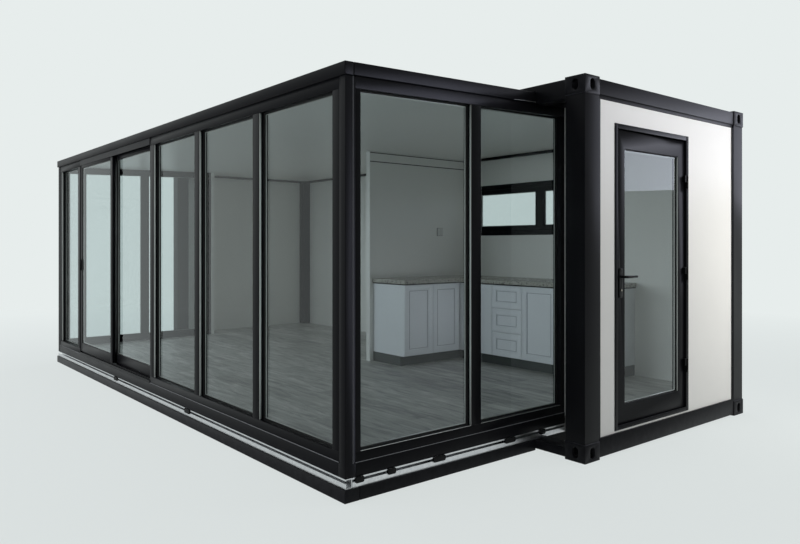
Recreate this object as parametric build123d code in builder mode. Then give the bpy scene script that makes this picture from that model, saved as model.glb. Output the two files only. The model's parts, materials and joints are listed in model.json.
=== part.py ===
from build123d import *
import os

os.makedirs("parts", exist_ok=True)

# Overall sizes, in millimetres
core_length = 6900
core_width = 2200
core_height = 2530
wing_reach = 1600
end_setback = 410
pocket_depth = 343
half_share = 0.5
cut_overrun = 20
joint_gap = 2
seat_gap = 0.3
running_gap = 5

# Core frame: corner castings, posts and rails
casting_length = 160
casting_width = 160
casting_height = 118
casting_wall = 26
post_inset = 5
deck_slot_length = 108
deck_slot_width = 62
face_slot_length = 76
face_slot_width = 50
rail_clear = 12
rail_inset = 4
rail_web = 60
rail_foot = 110
bottom_rail_top = 140
front_rail_depth = 136
top_rail_height = 103
panel_flange = 20
flange_inset = 8
lip_height = 26
front_band_depth = 96

# Wall panels, floor and roof of the core
panel_inset = 15
panel_thickness = 50
panel_module = 1150
panel_joint_width = 4
panel_joint_depth = 4
floor_top = 184
roof_sheet = 22
jamb_thickness = 50

# Wing frame, from the ground up
base_beam_height = 74
base_beam_depth = 100
track_height = 56
track_depth = 45
track_wall = 5
track_lower_lip = 31
track_slot = 16
sill_beam_height = 78
bottom_rail_height = 58
head_rail_height = 68
roof_beam_height = 73
roof_beam_depth = 60
wing_edge_drop = 100
roof_rise = 44
wall_inset = 12
wall_depth = 70
post_face = 51
bar_setback = 4
stile_width = 37
front_stile = 65
mullion_width = 88
pane_width = 863
far_pane_width = 690
near_bays = 3
end_mullion_place = 1037
end_inner_stile = 43
glass_setback = 44
glass_thickness = 20
glass_bite = 12

# Packing blocks in the track, placed from the wing's near corner
small_block = 60
large_block = 100
block_proud = 7
block_lap = 9
block_round = 10
end_small_shares = (0.055, 0.173, 0.868)
end_large_shares = (0.365, 0.696)
front_large_shares = (0.357, 0.643)

# Sliding door
leaf_thickness = 32
leaf_stile = 60
leaf_top_rail = 62
leaf_bottom_rail = 86
slide_sill_height = 20
slide_rib_height = 10
slide_rib_width = 6
slide_fin = 3
slide_head_web = 20
slide_fin_drop = 40
roller_radius = 14
roller_width = 8
roller_inset = 180
pull_height = 120
pull_width = 26
pull_plate = 4
pull_reach = 16
pull_lip = 6
pull_rise = 952

# Entrance door
door_frame_width = 972
door_frame_place = 350
door_frame_bottom = 154
door_head_drop = 141
door_face_inset = 10
door_jamb = 34
door_stop = 16
door_stop_depth = 30
door_threshold = 30
door_recess = 14
door_thickness = 45
door_stile = 96
door_rail = 125
door_glass_setback = 14
door_glass_thickness = 20
hinge_radius = 8
hinge_pin = 4
hinge_stand_off = 9
hinge_height = 100
hinge_plate = 3
hinge_plate_width = 24
hinge_shares = (0.13, 0.475, 0.82)
handle_place = 41
handle_rise = 1011
plate_width = 42
plate_height = 205
plate_below = 145
plate_thickness = 8
lever_length = 150
lever_height = 20
lever_depth = 13
lever_gap = 36
spindle_radius = 9
cylinder_radius = 9
cylinder_drop = 92
cylinder_proud = 5

# Strip window in the back wall
window_near_place = 1163
window_width = 1940
window_drop = 289
window_height = 575
window_frame = 55
window_sash = 44
window_meeting = 118
window_depth = 62
window_sash_inset = 14
window_glass_thickness = 16

# Kitchen
partition_place = 3230
partition_thickness = 60
partition_reach = 1445
side_run_depth = 500
side_run_reach = 1395
back_run_depth = 600
back_run_length = 2245
counter_height = 876
counter_thickness = 40
counter_overhang = 18
plinth_height = 100
plinth_recess = 50
front_thickness = 20
front_gap = 4
shaker_border = 62
shaker_recess = 7
corner_front_width = 462
drawer_width = 400
drawer_count = 3
side_door_count = 2
back_door_count = 2

# Places worked out from the sizes above
handle_reach = plate_thickness + lever_gap + lever_depth
handle_beyond = handle_reach - door_face_inset - door_recess
door_end_x = (core_length - handle_beyond) * half_share
far_end_x = door_end_x - core_length
wing_near_x = door_end_x - end_setback
wing_far_x = far_end_x + end_setback
front_y = -(core_width + wing_reach) * half_share
core_front_y = front_y + wing_reach
back_y = core_front_y + core_width
pocket_y = core_front_y + pocket_depth
core_ends = ((far_end_x, 1), (door_end_x, -1))
core_sides = ((core_front_y, 1), (back_y, -1))
core_levels = ((0, 1), (core_height, -1))
wing_ends = ((wing_far_x, 1), (wing_near_x, -1))

wing_edge_height = core_height - wing_edge_drop
track_top = base_beam_height + track_height
sill_top = track_top + sill_beam_height
glass_bottom = sill_top + bottom_rail_height
head_top = wing_edge_height - roof_beam_height
glass_top = head_top - head_rail_height
top_rail_top = core_height - rail_clear
top_rail_bottom = top_rail_top - top_rail_height
ceiling = top_rail_bottom
panel_top = ceiling - lip_height
wall_back = panel_inset + panel_thickness
door_frame_top = panel_top - door_head_drop
window_top = panel_top - window_drop
window_bottom = window_top - window_height
counter_top = floor_top + counter_height

wall_front_y = front_y + wall_inset
wall_inner_y = wall_front_y + wall_depth
post_back_y = wall_front_y + post_face
bar_front_y = wall_front_y + bar_setback
bar_inset = wall_inset + bar_setback
bar_depth = wall_depth - bar_setback
floor_joint_y = core_front_y + rail_inset + front_band_depth
pane_y = wall_front_y + glass_setback
near_post_x = wing_near_x - wall_inset - wall_depth
far_post_x = wing_far_x + wall_inset + wall_depth
slide_near_x = near_post_x - front_stile - near_bays * (pane_width + mullion_width)
slide_far_x = far_post_x + front_stile + far_pane_width + mullion_width


def roof_top(y):
    """Height of the wing roof's upper face at a place across the wing."""
    return wing_edge_height + roof_rise * (y - front_y) / wing_reach


def roof_under(y):
    """Height of the wing roof's lower face at a place across the wing."""
    return roof_top(y) - roof_beam_height


def head_under(y):
    """Height of the raked head rail's lower face at a place across the wing."""
    return roof_under(y) - head_rail_height


band_bottom = roof_top(floor_joint_y) + seat_gap
sheet_bottom = roof_top(pocket_y) + seat_gap


def inward(sign):
    """Alignment that grows a shape from its outer face towards the middle."""
    return Align.MIN if sign > 0 else Align.MAX


def block(x0, x1, y0, y1, z0, z1, mode=Mode.ADD):
    """A rectangular piece between six planes, given in either order."""
    with Locations((min(x0, x1), min(y0, y1), min(z0, z1))):
        Box(abs(x1 - x0), abs(y1 - y0), abs(z1 - z0), align=(Align.MIN,) * 3, mode=mode)


def section_along_x(points, x0, x1, mode=Mode.ADD):
    """Extrudes an outline of (y, z) points from one end to the other."""
    with BuildSketch(Plane.YZ.offset(x0)) as outline:
        with BuildLine():
            Polyline(*points, close=True)
        make_face()
    extrude(outline.sketch, amount=x1 - x0, mode=mode)


def section_along_y(points, y0, y1, mode=Mode.ADD):
    """Extrudes an outline of (x, z) points from one side to the other."""
    across = Plane(origin=(0, y0, 0), x_dir=(0, 0, 1), z_dir=(0, 1, 0))
    with BuildSketch(across) as outline:
        with BuildLine():
            Polyline(*[(z, x) for x, z in points], close=True)
        make_face()
    extrude(outline.sketch, amount=y1 - y0, mode=mode)


def section_along_z(points, z0, z1, mode=Mode.ADD):
    """Extrudes an outline of (x, y) points from a lower to an upper level."""
    with BuildSketch(Plane.XY.offset(z0)) as outline:
        with BuildLine():
            Polyline(*points, close=True)
        make_face()
    extrude(outline.sketch, amount=z1 - z0, mode=mode)


def raked(y0, y1, low, high, x0, x1, mode=Mode.ADD):
    """A piece of an end wall whose lower and upper edges are levels or rakes."""
    points = ((y0, low(y0)), (y1, low(y1)), (y1, high(y1)), (y0, high(y0)))
    section_along_x(points, min(x0, x1), max(x0, x1), mode)


def level(z):
    """A level edge for a raked piece."""
    return lambda y: z


def write(piece, name):
    """Labels a finished piece and writes its file."""
    piece.part.label = name
    export_step(piece.part, f"parts/{name}.step")


# Eight corner castings, hollow, with a slot in each outer face
with BuildPart() as corner_castings:
    for x, sx in core_ends:
        for y, sy in core_sides:
            for z, sz in core_levels:
                grow = (inward(sx), inward(sy), inward(sz))
                middle_x = x + sx * casting_length * half_share
                middle_y = y + sy * casting_width * half_share
                middle_z = z + sz * casting_height * half_share
                bore = casting_wall + cut_overrun
                with Locations((x, y, z)):
                    Box(casting_length, casting_width, casting_height, align=grow)
                with Locations((middle_x, middle_y, middle_z)):
                    Box(
                        casting_length - casting_wall - casting_wall,
                        casting_width - casting_wall - casting_wall,
                        casting_height - casting_wall - casting_wall,
                        mode=Mode.SUBTRACT,
                    )
                with BuildSketch(Plane((x, middle_y, middle_z), (0, 0, 1), (sx, 0, 0))):
                    SlotOverall(face_slot_length, face_slot_width)
                extrude(amount=bore, mode=Mode.SUBTRACT)
                with BuildSketch(Plane((middle_x, y, middle_z), (0, 0, 1), (0, sy, 0))):
                    SlotOverall(face_slot_length, face_slot_width)
                extrude(amount=bore, mode=Mode.SUBTRACT)
                with BuildSketch(Plane((middle_x, middle_y, z), (1, 0, 0), (0, 0, sz))):
                    SlotOverall(deck_slot_length, deck_slot_width)
                extrude(amount=bore, mode=Mode.SUBTRACT)
write(corner_castings, "corner_castings")

# Four corner posts with the flanges that hold the panel edges
flange_depth = wall_back - flange_inset
with BuildPart() as corner_posts:
    for x, sx in core_ends:
        for y, sy in core_sides:
            with BuildSketch(Plane.XY.offset(casting_height)):
                with Locations((x + sx * post_inset, y + sy * post_inset)):
                    post_length = casting_length - post_inset
                    post_width = casting_width - post_inset
                    Rectangle(post_length, post_width, align=(inward(sx), inward(sy)))
            extrude(amount=core_height - casting_height - casting_height)
            with BuildSketch(Plane.XY.offset(bottom_rail_top)):
                with Locations((x + sx * flange_inset, y + sy * casting_width)):
                    Rectangle(flange_depth, panel_flange, align=(inward(sx), inward(sy)))
                if y == back_y:
                    with Locations((x + sx * casting_length, y + sy * flange_inset)):
                        Rectangle(panel_flange, flange_depth, align=(inward(sx), inward(sy)))
            extrude(amount=panel_top - bottom_rail_top)
write(corner_posts, "corner_posts")

# Bottom rails: a web that carries the wall and a foot that carries the floor
rail_y0 = core_front_y + casting_width
rail_y1 = back_y - casting_width
rail_x0 = far_end_x + casting_length
rail_x1 = door_end_x - casting_length
rail_steps = (
    (rail_inset, rail_clear),
    (rail_inset + rail_foot, rail_clear),
    (rail_inset + rail_foot, base_beam_height),
    (rail_inset + rail_web, base_beam_height),
    (rail_inset + rail_web, bottom_rail_top),
    (rail_inset, bottom_rail_top),
)
with BuildPart() as core_bottom_rails:
    for x, sx in core_ends:
        section_along_y([(x + sx * depth, z) for depth, z in rail_steps], rail_y0, rail_y1)
    section_along_x([(back_y - depth, z) for depth, z in rail_steps], rail_x0, rail_x1)
    rail_front = core_front_y + rail_inset
    block(rail_x0, rail_x1, rail_front, rail_front + front_rail_depth, rail_clear, base_beam_height)
write(core_bottom_rails, "core_bottom_rails")

# Top rails: a web, and a lip set back over the panels that carries the roof
lip_steps = (
    (rail_inset, top_rail_bottom),
    (rail_inset + flange_inset, top_rail_bottom),
    (rail_inset + flange_inset, panel_top),
    (rail_inset + rail_foot, panel_top),
    (rail_inset + rail_foot, ceiling),
    (rail_inset + rail_web, ceiling),
    (rail_inset + rail_web, top_rail_top),
    (rail_inset, top_rail_top),
)
with BuildPart() as core_top_rails:
    for x, sx in core_ends:
        section_along_y([(x + sx * depth, z) for depth, z in lip_steps], rail_y0, rail_y1)
    section_along_x([(back_y - depth, z) for depth, z in lip_steps], rail_x0, rail_x1)
    band_y = core_front_y + rail_inset
    block(rail_x0, rail_x1, band_y, band_y + front_band_depth, band_bottom, top_rail_top)
    band_back = band_y + front_band_depth
    block(rail_x0, wing_far_x - joint_gap, band_y, band_back, panel_top, band_bottom)
    block(wing_near_x + joint_gap, rail_x1, band_y, band_back, panel_top, band_bottom)
write(core_top_rails, "core_top_rails")

# Floor of the core, notched at the two recesses beside the wing
floor_x0 = far_end_x + wall_back
floor_x1 = door_end_x - wall_back
floor_y1 = back_y - wall_back
door_y0 = core_front_y + door_frame_place
door_y1 = door_y0 + door_frame_width
door_face_x = door_end_x - door_face_inset
leaf_x1 = door_face_x - door_recess
leaf_x0 = leaf_x1 - door_thickness
stop_x1 = leaf_x0 - running_gap
stop_x0 = stop_x1 - door_stop_depth


def clear_castings(z0, z1):
    """Cuts the corners of a floor or roof back to the corner castings and posts."""
    for x, sx in core_ends:
        for y, sy in core_sides:
            corner_x = x + sx * casting_length
            block(x, corner_x, y, y + sy * casting_width, z0, z1, Mode.SUBTRACT)


with BuildPart() as core_floor:
    section_along_z(
        (
            (floor_x0, pocket_y),
            (far_post_x, pocket_y),
            (far_post_x, floor_joint_y),
            (near_post_x, floor_joint_y),
            (near_post_x, pocket_y),
            (floor_x1, pocket_y),
            (floor_x1, floor_y1),
            (floor_x0, floor_y1),
        ),
        base_beam_height,
        floor_top,
    )
    clear_castings(base_beam_height, floor_top)
    block(stop_x0, floor_x1, door_y0, door_y1, door_frame_bottom, floor_top, Mode.SUBTRACT)
write(core_floor, "core_floor")

# Roof of the core: a thick panel with a thin sheet that laps over the wing roof
with BuildPart() as core_roof:
    section_along_x(
        (
            (pocket_y + joint_gap, ceiling),
            (floor_y1, ceiling),
            (floor_y1, sheet_bottom + roof_sheet),
            (floor_joint_y, sheet_bottom + roof_sheet),
            (floor_joint_y, sheet_bottom),
            (pocket_y + joint_gap, sheet_bottom),
        ),
        floor_x0,
        floor_x1,
    )
    clear_castings(ceiling, core_height)
write(core_roof, "core_roof")

# White end wall round the entrance door
wall_x0 = door_end_x - wall_back
wall_x1 = door_end_x - panel_inset
panel_y0 = core_front_y + casting_width + panel_flange
panel_y1 = back_y - casting_width - panel_flange
with BuildPart() as door_wall_sides:
    block(wall_x0, wall_x1, panel_y0, door_y0, bottom_rail_top, panel_top)
    block(wall_x0, wall_x1, door_y1, panel_y1, bottom_rail_top, panel_top)
write(door_wall_sides, "door_wall_sides")

with BuildPart() as door_wall_over_and_under:
    block(wall_x0, wall_x1, door_y0, door_y1, door_frame_top, panel_top)
    block(wall_x0, wall_x1, door_y0, door_y1, bottom_rail_top, door_frame_bottom)
write(door_wall_over_and_under, "door_wall_over_and_under")


def joint_places(start, end):
    """Places along a wall where two panels meet, one panel width apart."""
    count = int((end - start) / panel_module)
    middle = (start + end) * half_share
    return [middle + (number - (count - 1) * half_share) * panel_module for number in range(count)]


# Plain white wall at the far end, with a groove where two panels meet
with BuildPart() as far_end_wall:
    far_face = far_end_x + panel_inset
    block(far_face, far_face + panel_thickness, panel_y0, panel_y1, bottom_rail_top, panel_top)
    for y in joint_places(panel_y0, panel_y1):
        y0 = y - panel_joint_width * half_share
        y1 = y0 + panel_joint_width
        groove_x = far_face + panel_joint_depth
        block(far_face, groove_x, y0, y1, bottom_rail_top, panel_top, Mode.SUBTRACT)
write(far_end_wall, "far_end_wall")

# Back wall round the strip window
window_x1 = door_end_x - window_near_place
window_x0 = window_x1 - window_width
back_y0 = back_y - wall_back
back_y1 = back_y - panel_inset
panel_x0 = far_end_x + casting_length + panel_flange
panel_x1 = door_end_x - casting_length - panel_flange


def cut_back_joints():
    """Cuts the grooves of the back wall's panel joints out of the panels being made."""
    for x in joint_places(panel_x0, panel_x1):
        x0 = x - panel_joint_width * half_share
        x1 = x0 + panel_joint_width
        groove_y = back_y1 - panel_joint_depth
        block(x0, x1, groove_y, back_y1, bottom_rail_top, panel_top, Mode.SUBTRACT)


with BuildPart() as back_wall_sides:
    block(panel_x0, window_x0, back_y0, back_y1, bottom_rail_top, panel_top)
    block(window_x1, panel_x1, back_y0, back_y1, bottom_rail_top, panel_top)
    cut_back_joints()
write(back_wall_sides, "back_wall_sides")

with BuildPart() as back_wall_over_and_under:
    block(window_x0, window_x1, back_y0, back_y1, window_top, panel_top)
    block(window_x0, window_x1, back_y0, back_y1, bottom_rail_top, window_bottom)
    cut_back_joints()
write(back_wall_over_and_under, "back_wall_over_and_under")

# Strip window: a frame with two sashes that meet in the middle
window_y1 = back_y - panel_inset + flange_inset
window_y0 = window_y1 - window_depth
sash_y0 = window_y0 + window_sash_inset
sash_y1 = window_y1 - window_sash_inset
inner_x0 = window_x0 + window_frame
inner_x1 = window_x1 - window_frame
inner_z0 = window_bottom + window_frame
inner_z1 = window_top - window_frame
meeting_x = (window_x0 + window_x1) * half_share
window_panes = (
    (inner_x0 + window_sash, meeting_x - window_meeting * half_share),
    (meeting_x + window_meeting * half_share, inner_x1 - window_sash),
)
pane_z0 = inner_z0 + window_sash
pane_z1 = inner_z1 - window_sash
with BuildPart() as strip_window_frame:
    block(window_x0, window_x1, window_y0, window_y1, window_bottom, window_top)
    block(inner_x0, inner_x1, window_y0, window_y1, inner_z0, inner_z1, Mode.SUBTRACT)
    block(inner_x0, inner_x1, sash_y0, sash_y1, inner_z0, inner_z1)
    for x0, x1 in window_panes:
        block(x0, x1, sash_y0, sash_y1, pane_z0, pane_z1, Mode.SUBTRACT)
write(strip_window_frame, "strip_window_frame")

window_glass_y = (sash_y0 + sash_y1 - window_glass_thickness) * half_share
with BuildPart() as strip_window_glass:
    for x0, x1 in window_panes:
        glass_y1 = window_glass_y + window_glass_thickness
        block(x0, x1, window_glass_y, glass_y1, pane_z0, pane_z1)
write(strip_window_glass, "strip_window_glass")

# White jambs that close the core beside the wing's end walls, notched for the door frame
lip_back = rail_inset + rail_foot
with BuildPart() as recess_jambs:
    for x, sx, inner_x in ((far_end_x, 1, far_post_x), (door_end_x, -1, near_post_x)):
        outline = (
            (inner_x, floor_top),
            (x + sx * wall_back, floor_top),
            (x + sx * wall_back, panel_top),
            (x + sx * lip_back, panel_top),
            (x + sx * lip_back, ceiling),
            (inner_x, ceiling),
        )
        section_along_y(outline, pocket_y, pocket_y + jamb_thickness)
    block(stop_x0, door_face_x, door_y0, door_y1, door_frame_bottom, door_frame_top, Mode.SUBTRACT)
write(recess_jambs, "recess_jambs")

# Entrance door frame: jambs, head and threshold with a stop behind the leaf
frame_steps = (
    (door_face_x, 0),
    (door_face_x, door_jamb),
    (stop_x1, door_jamb),
    (stop_x1, door_jamb + door_stop),
    (stop_x0, door_jamb + door_stop),
    (stop_x0, 0),
)
sill_steps = (
    (door_face_x, 0),
    (door_face_x, door_threshold),
    (stop_x1, door_threshold),
    (stop_x1, door_threshold + door_stop),
    (stop_x0, door_threshold + door_stop),
    (stop_x0, 0),
)
with BuildPart() as door_frame_jambs:
    low_side = [(x, door_y0 + out) for x, out in frame_steps]
    high_side = [(x, door_y1 - out) for x, out in frame_steps]
    section_along_z(low_side, door_frame_bottom, door_frame_top)
    section_along_z(high_side, door_frame_bottom, door_frame_top)
write(door_frame_jambs, "door_frame_jambs")

with BuildPart() as door_frame_head_and_threshold:
    head = [(x, door_frame_top - out) for x, out in frame_steps]
    threshold = [(x, door_frame_bottom + out) for x, out in sill_steps]
    for outline in (head, threshold):
        section_along_y(outline, door_y0 + door_jamb, door_y1 - door_jamb)
    for y0 in (door_y0 + door_jamb, door_y1 - door_jamb - door_stop):
        block(stop_x0, stop_x1, y0, y0 + door_stop, door_frame_bottom, door_frame_top, Mode.SUBTRACT)
write(door_frame_head_and_threshold, "door_frame_head_and_threshold")

# Entrance door leaf, its glass and the bore for the handle spindle
leaf_y0 = door_y0 + door_jamb + running_gap
leaf_y1 = door_y1 - door_jamb - running_gap
leaf_z0 = door_frame_bottom + door_threshold + running_gap
leaf_z1 = door_frame_top - door_jamb - running_gap
handle_y = leaf_y0 + handle_place
handle_level = leaf_z0 + handle_rise
spindle_bore = spindle_radius + seat_gap
door_pane_x1 = leaf_x1 - door_glass_setback
door_pane_x0 = door_pane_x1 - door_glass_thickness
door_pane_y = (leaf_y0 + door_stile, leaf_y1 - door_stile)
door_pane_z = (leaf_z0 + door_rail, leaf_z1 - door_rail)
across_door = Plane((leaf_x0, handle_y, handle_level), (0, 1, 0), (1, 0, 0))
with BuildPart() as door_leaf:
    block(leaf_x0, leaf_x1, leaf_y0, leaf_y1, leaf_z0, leaf_z1)
    block(leaf_x0, leaf_x1, *door_pane_y, *door_pane_z, Mode.SUBTRACT)
    block(
        door_pane_x0,
        door_pane_x1,
        door_pane_y[0] - glass_bite,
        door_pane_y[1] + glass_bite,
        door_pane_z[0] - glass_bite,
        door_pane_z[1] + glass_bite,
        Mode.SUBTRACT,
    )
    with BuildSketch(across_door):
        Circle(spindle_bore)
    extrude(amount=door_thickness, mode=Mode.SUBTRACT)
write(door_leaf, "door_leaf")

with BuildPart() as door_glass:
    block(
        door_pane_x0,
        door_pane_x1,
        door_pane_y[0] - glass_bite,
        door_pane_y[1] + glass_bite,
        door_pane_z[0] - glass_bite,
        door_pane_z[1] + glass_bite,
    )
write(door_glass, "door_glass")

# Long handle plates on both faces, with the key cylinder
plate_z0 = handle_level - plate_below
with BuildPart() as door_handle_plates:
    for x, sx in ((leaf_x1, 1), (leaf_x0, -1)):
        plate_middle = plate_z0 + plate_height * half_share
        with BuildSketch(Plane((x, handle_y, plate_middle), (0, 1, 0), (sx, 0, 0))):
            RectangleRounded(plate_width, plate_height, plate_width * half_share - joint_gap)
        extrude(amount=plate_thickness)
        with BuildSketch(Plane((x, handle_y, handle_level), (0, 1, 0), (sx, 0, 0))):
            Circle(spindle_bore)
        extrude(amount=plate_thickness, mode=Mode.SUBTRACT)
        with BuildSketch(Plane((x, handle_y, handle_level - cylinder_drop), (0, 1, 0), (sx, 0, 0))):
            Circle(cylinder_radius)
        extrude(amount=plate_thickness + cylinder_proud)
write(door_handle_plates, "door_handle_plates")

# Lever handle: one spindle through the door with a lever on each side
lever_x1 = leaf_x1 + plate_thickness + lever_gap
lever_x0 = leaf_x0 - plate_thickness - lever_gap
with BuildPart() as door_lever:
    with BuildSketch(Plane((lever_x0, handle_y, handle_level), (0, 1, 0), (1, 0, 0))):
        Circle(spindle_radius)
    extrude(amount=lever_x1 - lever_x0)
    lever_middle = handle_y - spindle_radius + lever_length * half_share
    for x, sx in ((lever_x1, 1), (lever_x0, -1)):
        with BuildSketch(Plane((x, lever_middle, handle_level), (0, sx, 0), (sx, 0, 0))):
            RectangleRounded(lever_length, lever_height, lever_height * half_share - joint_gap)
        extrude(amount=lever_depth)
write(door_lever, "door_lever")

# Barrel hinges: the lower half on the frame with the pin, the upper half on the leaf
hinge_x = door_face_x + hinge_stand_off
hinge_y = leaf_y1 + running_gap * half_share
half_hinge = hinge_height * half_share
hinge_levels = [leaf_z0 + share * (leaf_z1 - leaf_z0) for share in hinge_shares]
with BuildPart() as door_hinge_pins:
    for z in hinge_levels:
        with Locations((hinge_x, hinge_y, z)):
            Cylinder(hinge_radius, half_hinge, align=(Align.CENTER, Align.CENTER, Align.MIN))
            Cylinder(hinge_pin, hinge_height, align=(Align.CENTER, Align.CENTER, Align.MIN))
        plate_y1 = door_y1 - door_jamb + hinge_plate_width
        block(door_face_x, door_face_x + hinge_plate, hinge_y, plate_y1, z, z + half_hinge)
write(door_hinge_pins, "door_hinge_pins")

with BuildPart() as door_hinge_knuckles:
    for z in hinge_levels:
        knuckle_z = z + half_hinge + seat_gap
        arm_y0 = leaf_y1 - hinge_plate_width
        knuckle_top = z + hinge_height
        with Locations((hinge_x, hinge_y, knuckle_z)):
            Cylinder(hinge_radius, half_hinge, align=(Align.CENTER, Align.CENTER, Align.MIN))
        block(leaf_x1, door_face_x + hinge_plate, arm_y0, leaf_y1, knuckle_z, knuckle_top)
        arm_x1 = door_face_x + hinge_stand_off
        block(door_face_x + joint_gap, arm_x1, arm_y0, hinge_y, knuckle_z, knuckle_top)
        with Locations((hinge_x, hinge_y, knuckle_z)):
            Cylinder(
                hinge_pin + seat_gap,
                half_hinge,
                align=(Align.CENTER, Align.CENTER, Align.MIN),
                mode=Mode.SUBTRACT,
            )
write(door_hinge_knuckles, "door_hinge_knuckles")

# Base beams of the wing, on the ground
with BuildPart() as wing_base_beams:
    block(wing_far_x, wing_near_x, front_y, front_y + base_beam_depth, 0, base_beam_height)
    for x, sx in wing_ends:
        base_y0 = front_y + base_beam_depth + joint_gap
        block(x, x + sx * base_beam_depth, base_y0, core_front_y + rail_inset, 0, base_beam_height)
write(wing_base_beams, "wing_base_beams")

# Galvanised channels on the base beams, with a slot between two lips on the outside
slot_high = track_lower_lip + track_slot
channel_back = track_depth - track_wall
channel_roof = track_height - track_wall
channel_steps = (
    (0, 0),
    (track_depth, 0),
    (track_depth, track_height),
    (0, track_height),
    (0, slot_high),
    (track_wall, slot_high),
    (track_wall, channel_roof),
    (channel_back, channel_roof),
    (channel_back, track_wall),
    (track_wall, track_wall),
    (track_wall, track_lower_lip),
    (0, track_lower_lip),
)
with BuildPart() as wing_track_channels:
    front_channel = [(wall_front_y + depth, base_beam_height + z) for depth, z in channel_steps]
    section_along_x(front_channel, wing_far_x + wall_inset, wing_near_x - wall_inset)
    for x, sx in wing_ends:
        end_channel = [(x + sx * (wall_inset + depth), base_beam_height + z) for depth, z in channel_steps]
        section_along_y(end_channel, wall_front_y + track_depth + joint_gap, pocket_y)
write(wing_track_channels, "wing_track_channels")

# Black packing blocks: a rounded head on the lips and a stem through the slot
slot_middle = base_beam_height + track_lower_lip + track_slot * half_share
block_height = track_slot + block_lap + block_lap


def track_block(place, along, out, width):
    """One packing block at a place on the channel's outer face."""
    face = Plane(place, along, out)
    with BuildSketch(face) as head:
        RectangleRounded(width, block_height, block_round)
    extrude(head.sketch, amount=block_proud)
    with BuildSketch(face) as stem:
        Rectangle(width - block_round - block_round, track_slot)
    extrude(stem.sketch, amount=-channel_back)


with BuildPart() as wing_track_blocks:
    for x, sx in wing_ends:
        for shares, width in ((end_small_shares, small_block), (end_large_shares, large_block)):
            for share in shares:
                place = (x + sx * wall_inset, front_y + share * (pocket_y - front_y), slot_middle)
                track_block(place, (0, 1, 0), (-sx, 0, 0), width)
    for share in front_large_shares:
        place = (wing_near_x - share * (wing_near_x - wing_far_x), wall_front_y, slot_middle)
        track_block(place, (1, 0, 0), (0, -1, 0), large_block)
write(wing_track_blocks, "wing_track_blocks")

# Sill beams that the glass walls stand on
with BuildPart() as wing_sill_beams:
    block(far_post_x, near_post_x, wall_front_y, wall_inner_y, track_top, sill_top)
    for x, sx in wing_ends:
        face = x + sx * wall_inset
        block(face, face + sx * wall_depth, wall_inner_y, pocket_y, track_top, sill_top)
write(wing_sill_beams, "wing_sill_beams")

# Posts at the wing's two outer corners, rebated above the sill to the window bars' faces
with BuildPart() as wing_corner_posts:
    for x, sx in wing_ends:
        face = x + sx * wall_inset
        block(face, face + sx * wall_depth, wall_front_y, wall_inner_y, track_top, sill_top)
        section_along_z(
            (
                (face, wall_front_y),
                (face + sx * post_face, wall_front_y),
                (face + sx * post_face, bar_front_y),
                (face + sx * wall_depth, bar_front_y),
                (face + sx * wall_depth, wall_inner_y),
                (face + sx * bar_setback, wall_inner_y),
                (face + sx * bar_setback, post_back_y),
                (face, post_back_y),
            ),
            sill_top,
            head_top,
        )
write(wing_corner_posts, "wing_corner_posts")

# Glazed bays of the front wall, and the groove that each bar has for the glass
front_mullion_x = [slide_far_x - mullion_width]
for bay in range(near_bays):
    bay_x = near_post_x - front_stile - pane_width - bay * (pane_width + mullion_width)
    front_mullion_x.append(bay_x - mullion_width)
front_runs = ((far_post_x, slide_far_x), (slide_near_x, near_post_x))
front_panes = [(far_post_x + front_stile, far_post_x + front_stile + far_pane_width)]
for bay in range(near_bays):
    pane_x1 = near_post_x - front_stile - bay * (pane_width + mullion_width)
    front_panes.append((pane_x1 - pane_width, pane_x1))
pane_back_y = pane_y + glass_thickness
pane_low = glass_bottom - glass_bite
pane_high = glass_top + glass_bite

# Glazed bays of the end walls
end_mullion_y = front_y + end_mullion_place - mullion_width * half_share
end_panes = (
    (wall_inner_y + stile_width, end_mullion_y),
    (end_mullion_y + mullion_width, pocket_y - end_inner_stile),
)


def end_pane(x, sx, y0, y1, mode=Mode.ADD):
    """One raked pane of an end wall, let into the bars round it."""
    low = level(pane_low)
    pane_x = x + sx * (wall_inset + glass_setback)
    raked(
        y0 - glass_bite,
        y1 + glass_bite,
        low,
        lambda y: head_under(y) + glass_bite,
        pane_x,
        pane_x + sx * glass_thickness,
        mode,
    )


def front_pane(x0, x1, mode=Mode.ADD):
    """One pane of the front wall, let into the bars round it."""
    block(x0 - glass_bite, x1 + glass_bite, pane_y, pane_back_y, pane_low, pane_high, mode)


def cut_all_grooves():
    """Cuts the groove of every fixed pane out of the bars being made."""
    for x0, x1 in front_panes:
        front_pane(x0, x1, Mode.SUBTRACT)
    for x, sx in wing_ends:
        for y0, y1 in end_panes:
            end_pane(x, sx, y0, y1, Mode.SUBTRACT)


with BuildPart() as window_bottom_rails:
    for x0, x1 in front_runs:
        block(x0, x1, bar_front_y, wall_inner_y, sill_top, glass_bottom)
    for x, sx in wing_ends:
        face = x + sx * bar_inset
        block(face, face + sx * bar_depth, wall_inner_y, pocket_y, sill_top, glass_bottom)
    cut_all_grooves()
write(window_bottom_rails, "window_bottom_rails")

with BuildPart() as window_head_rails:
    for x0, x1 in front_runs:
        block(x0, x1, bar_front_y, wall_inner_y, glass_top, head_top)
    for x, sx in wing_ends:
        face = x + sx * bar_inset
        raked(wall_inner_y, pocket_y, head_under, roof_under, face, face + sx * bar_depth)
    cut_all_grooves()
write(window_head_rails, "window_head_rails")

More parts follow.
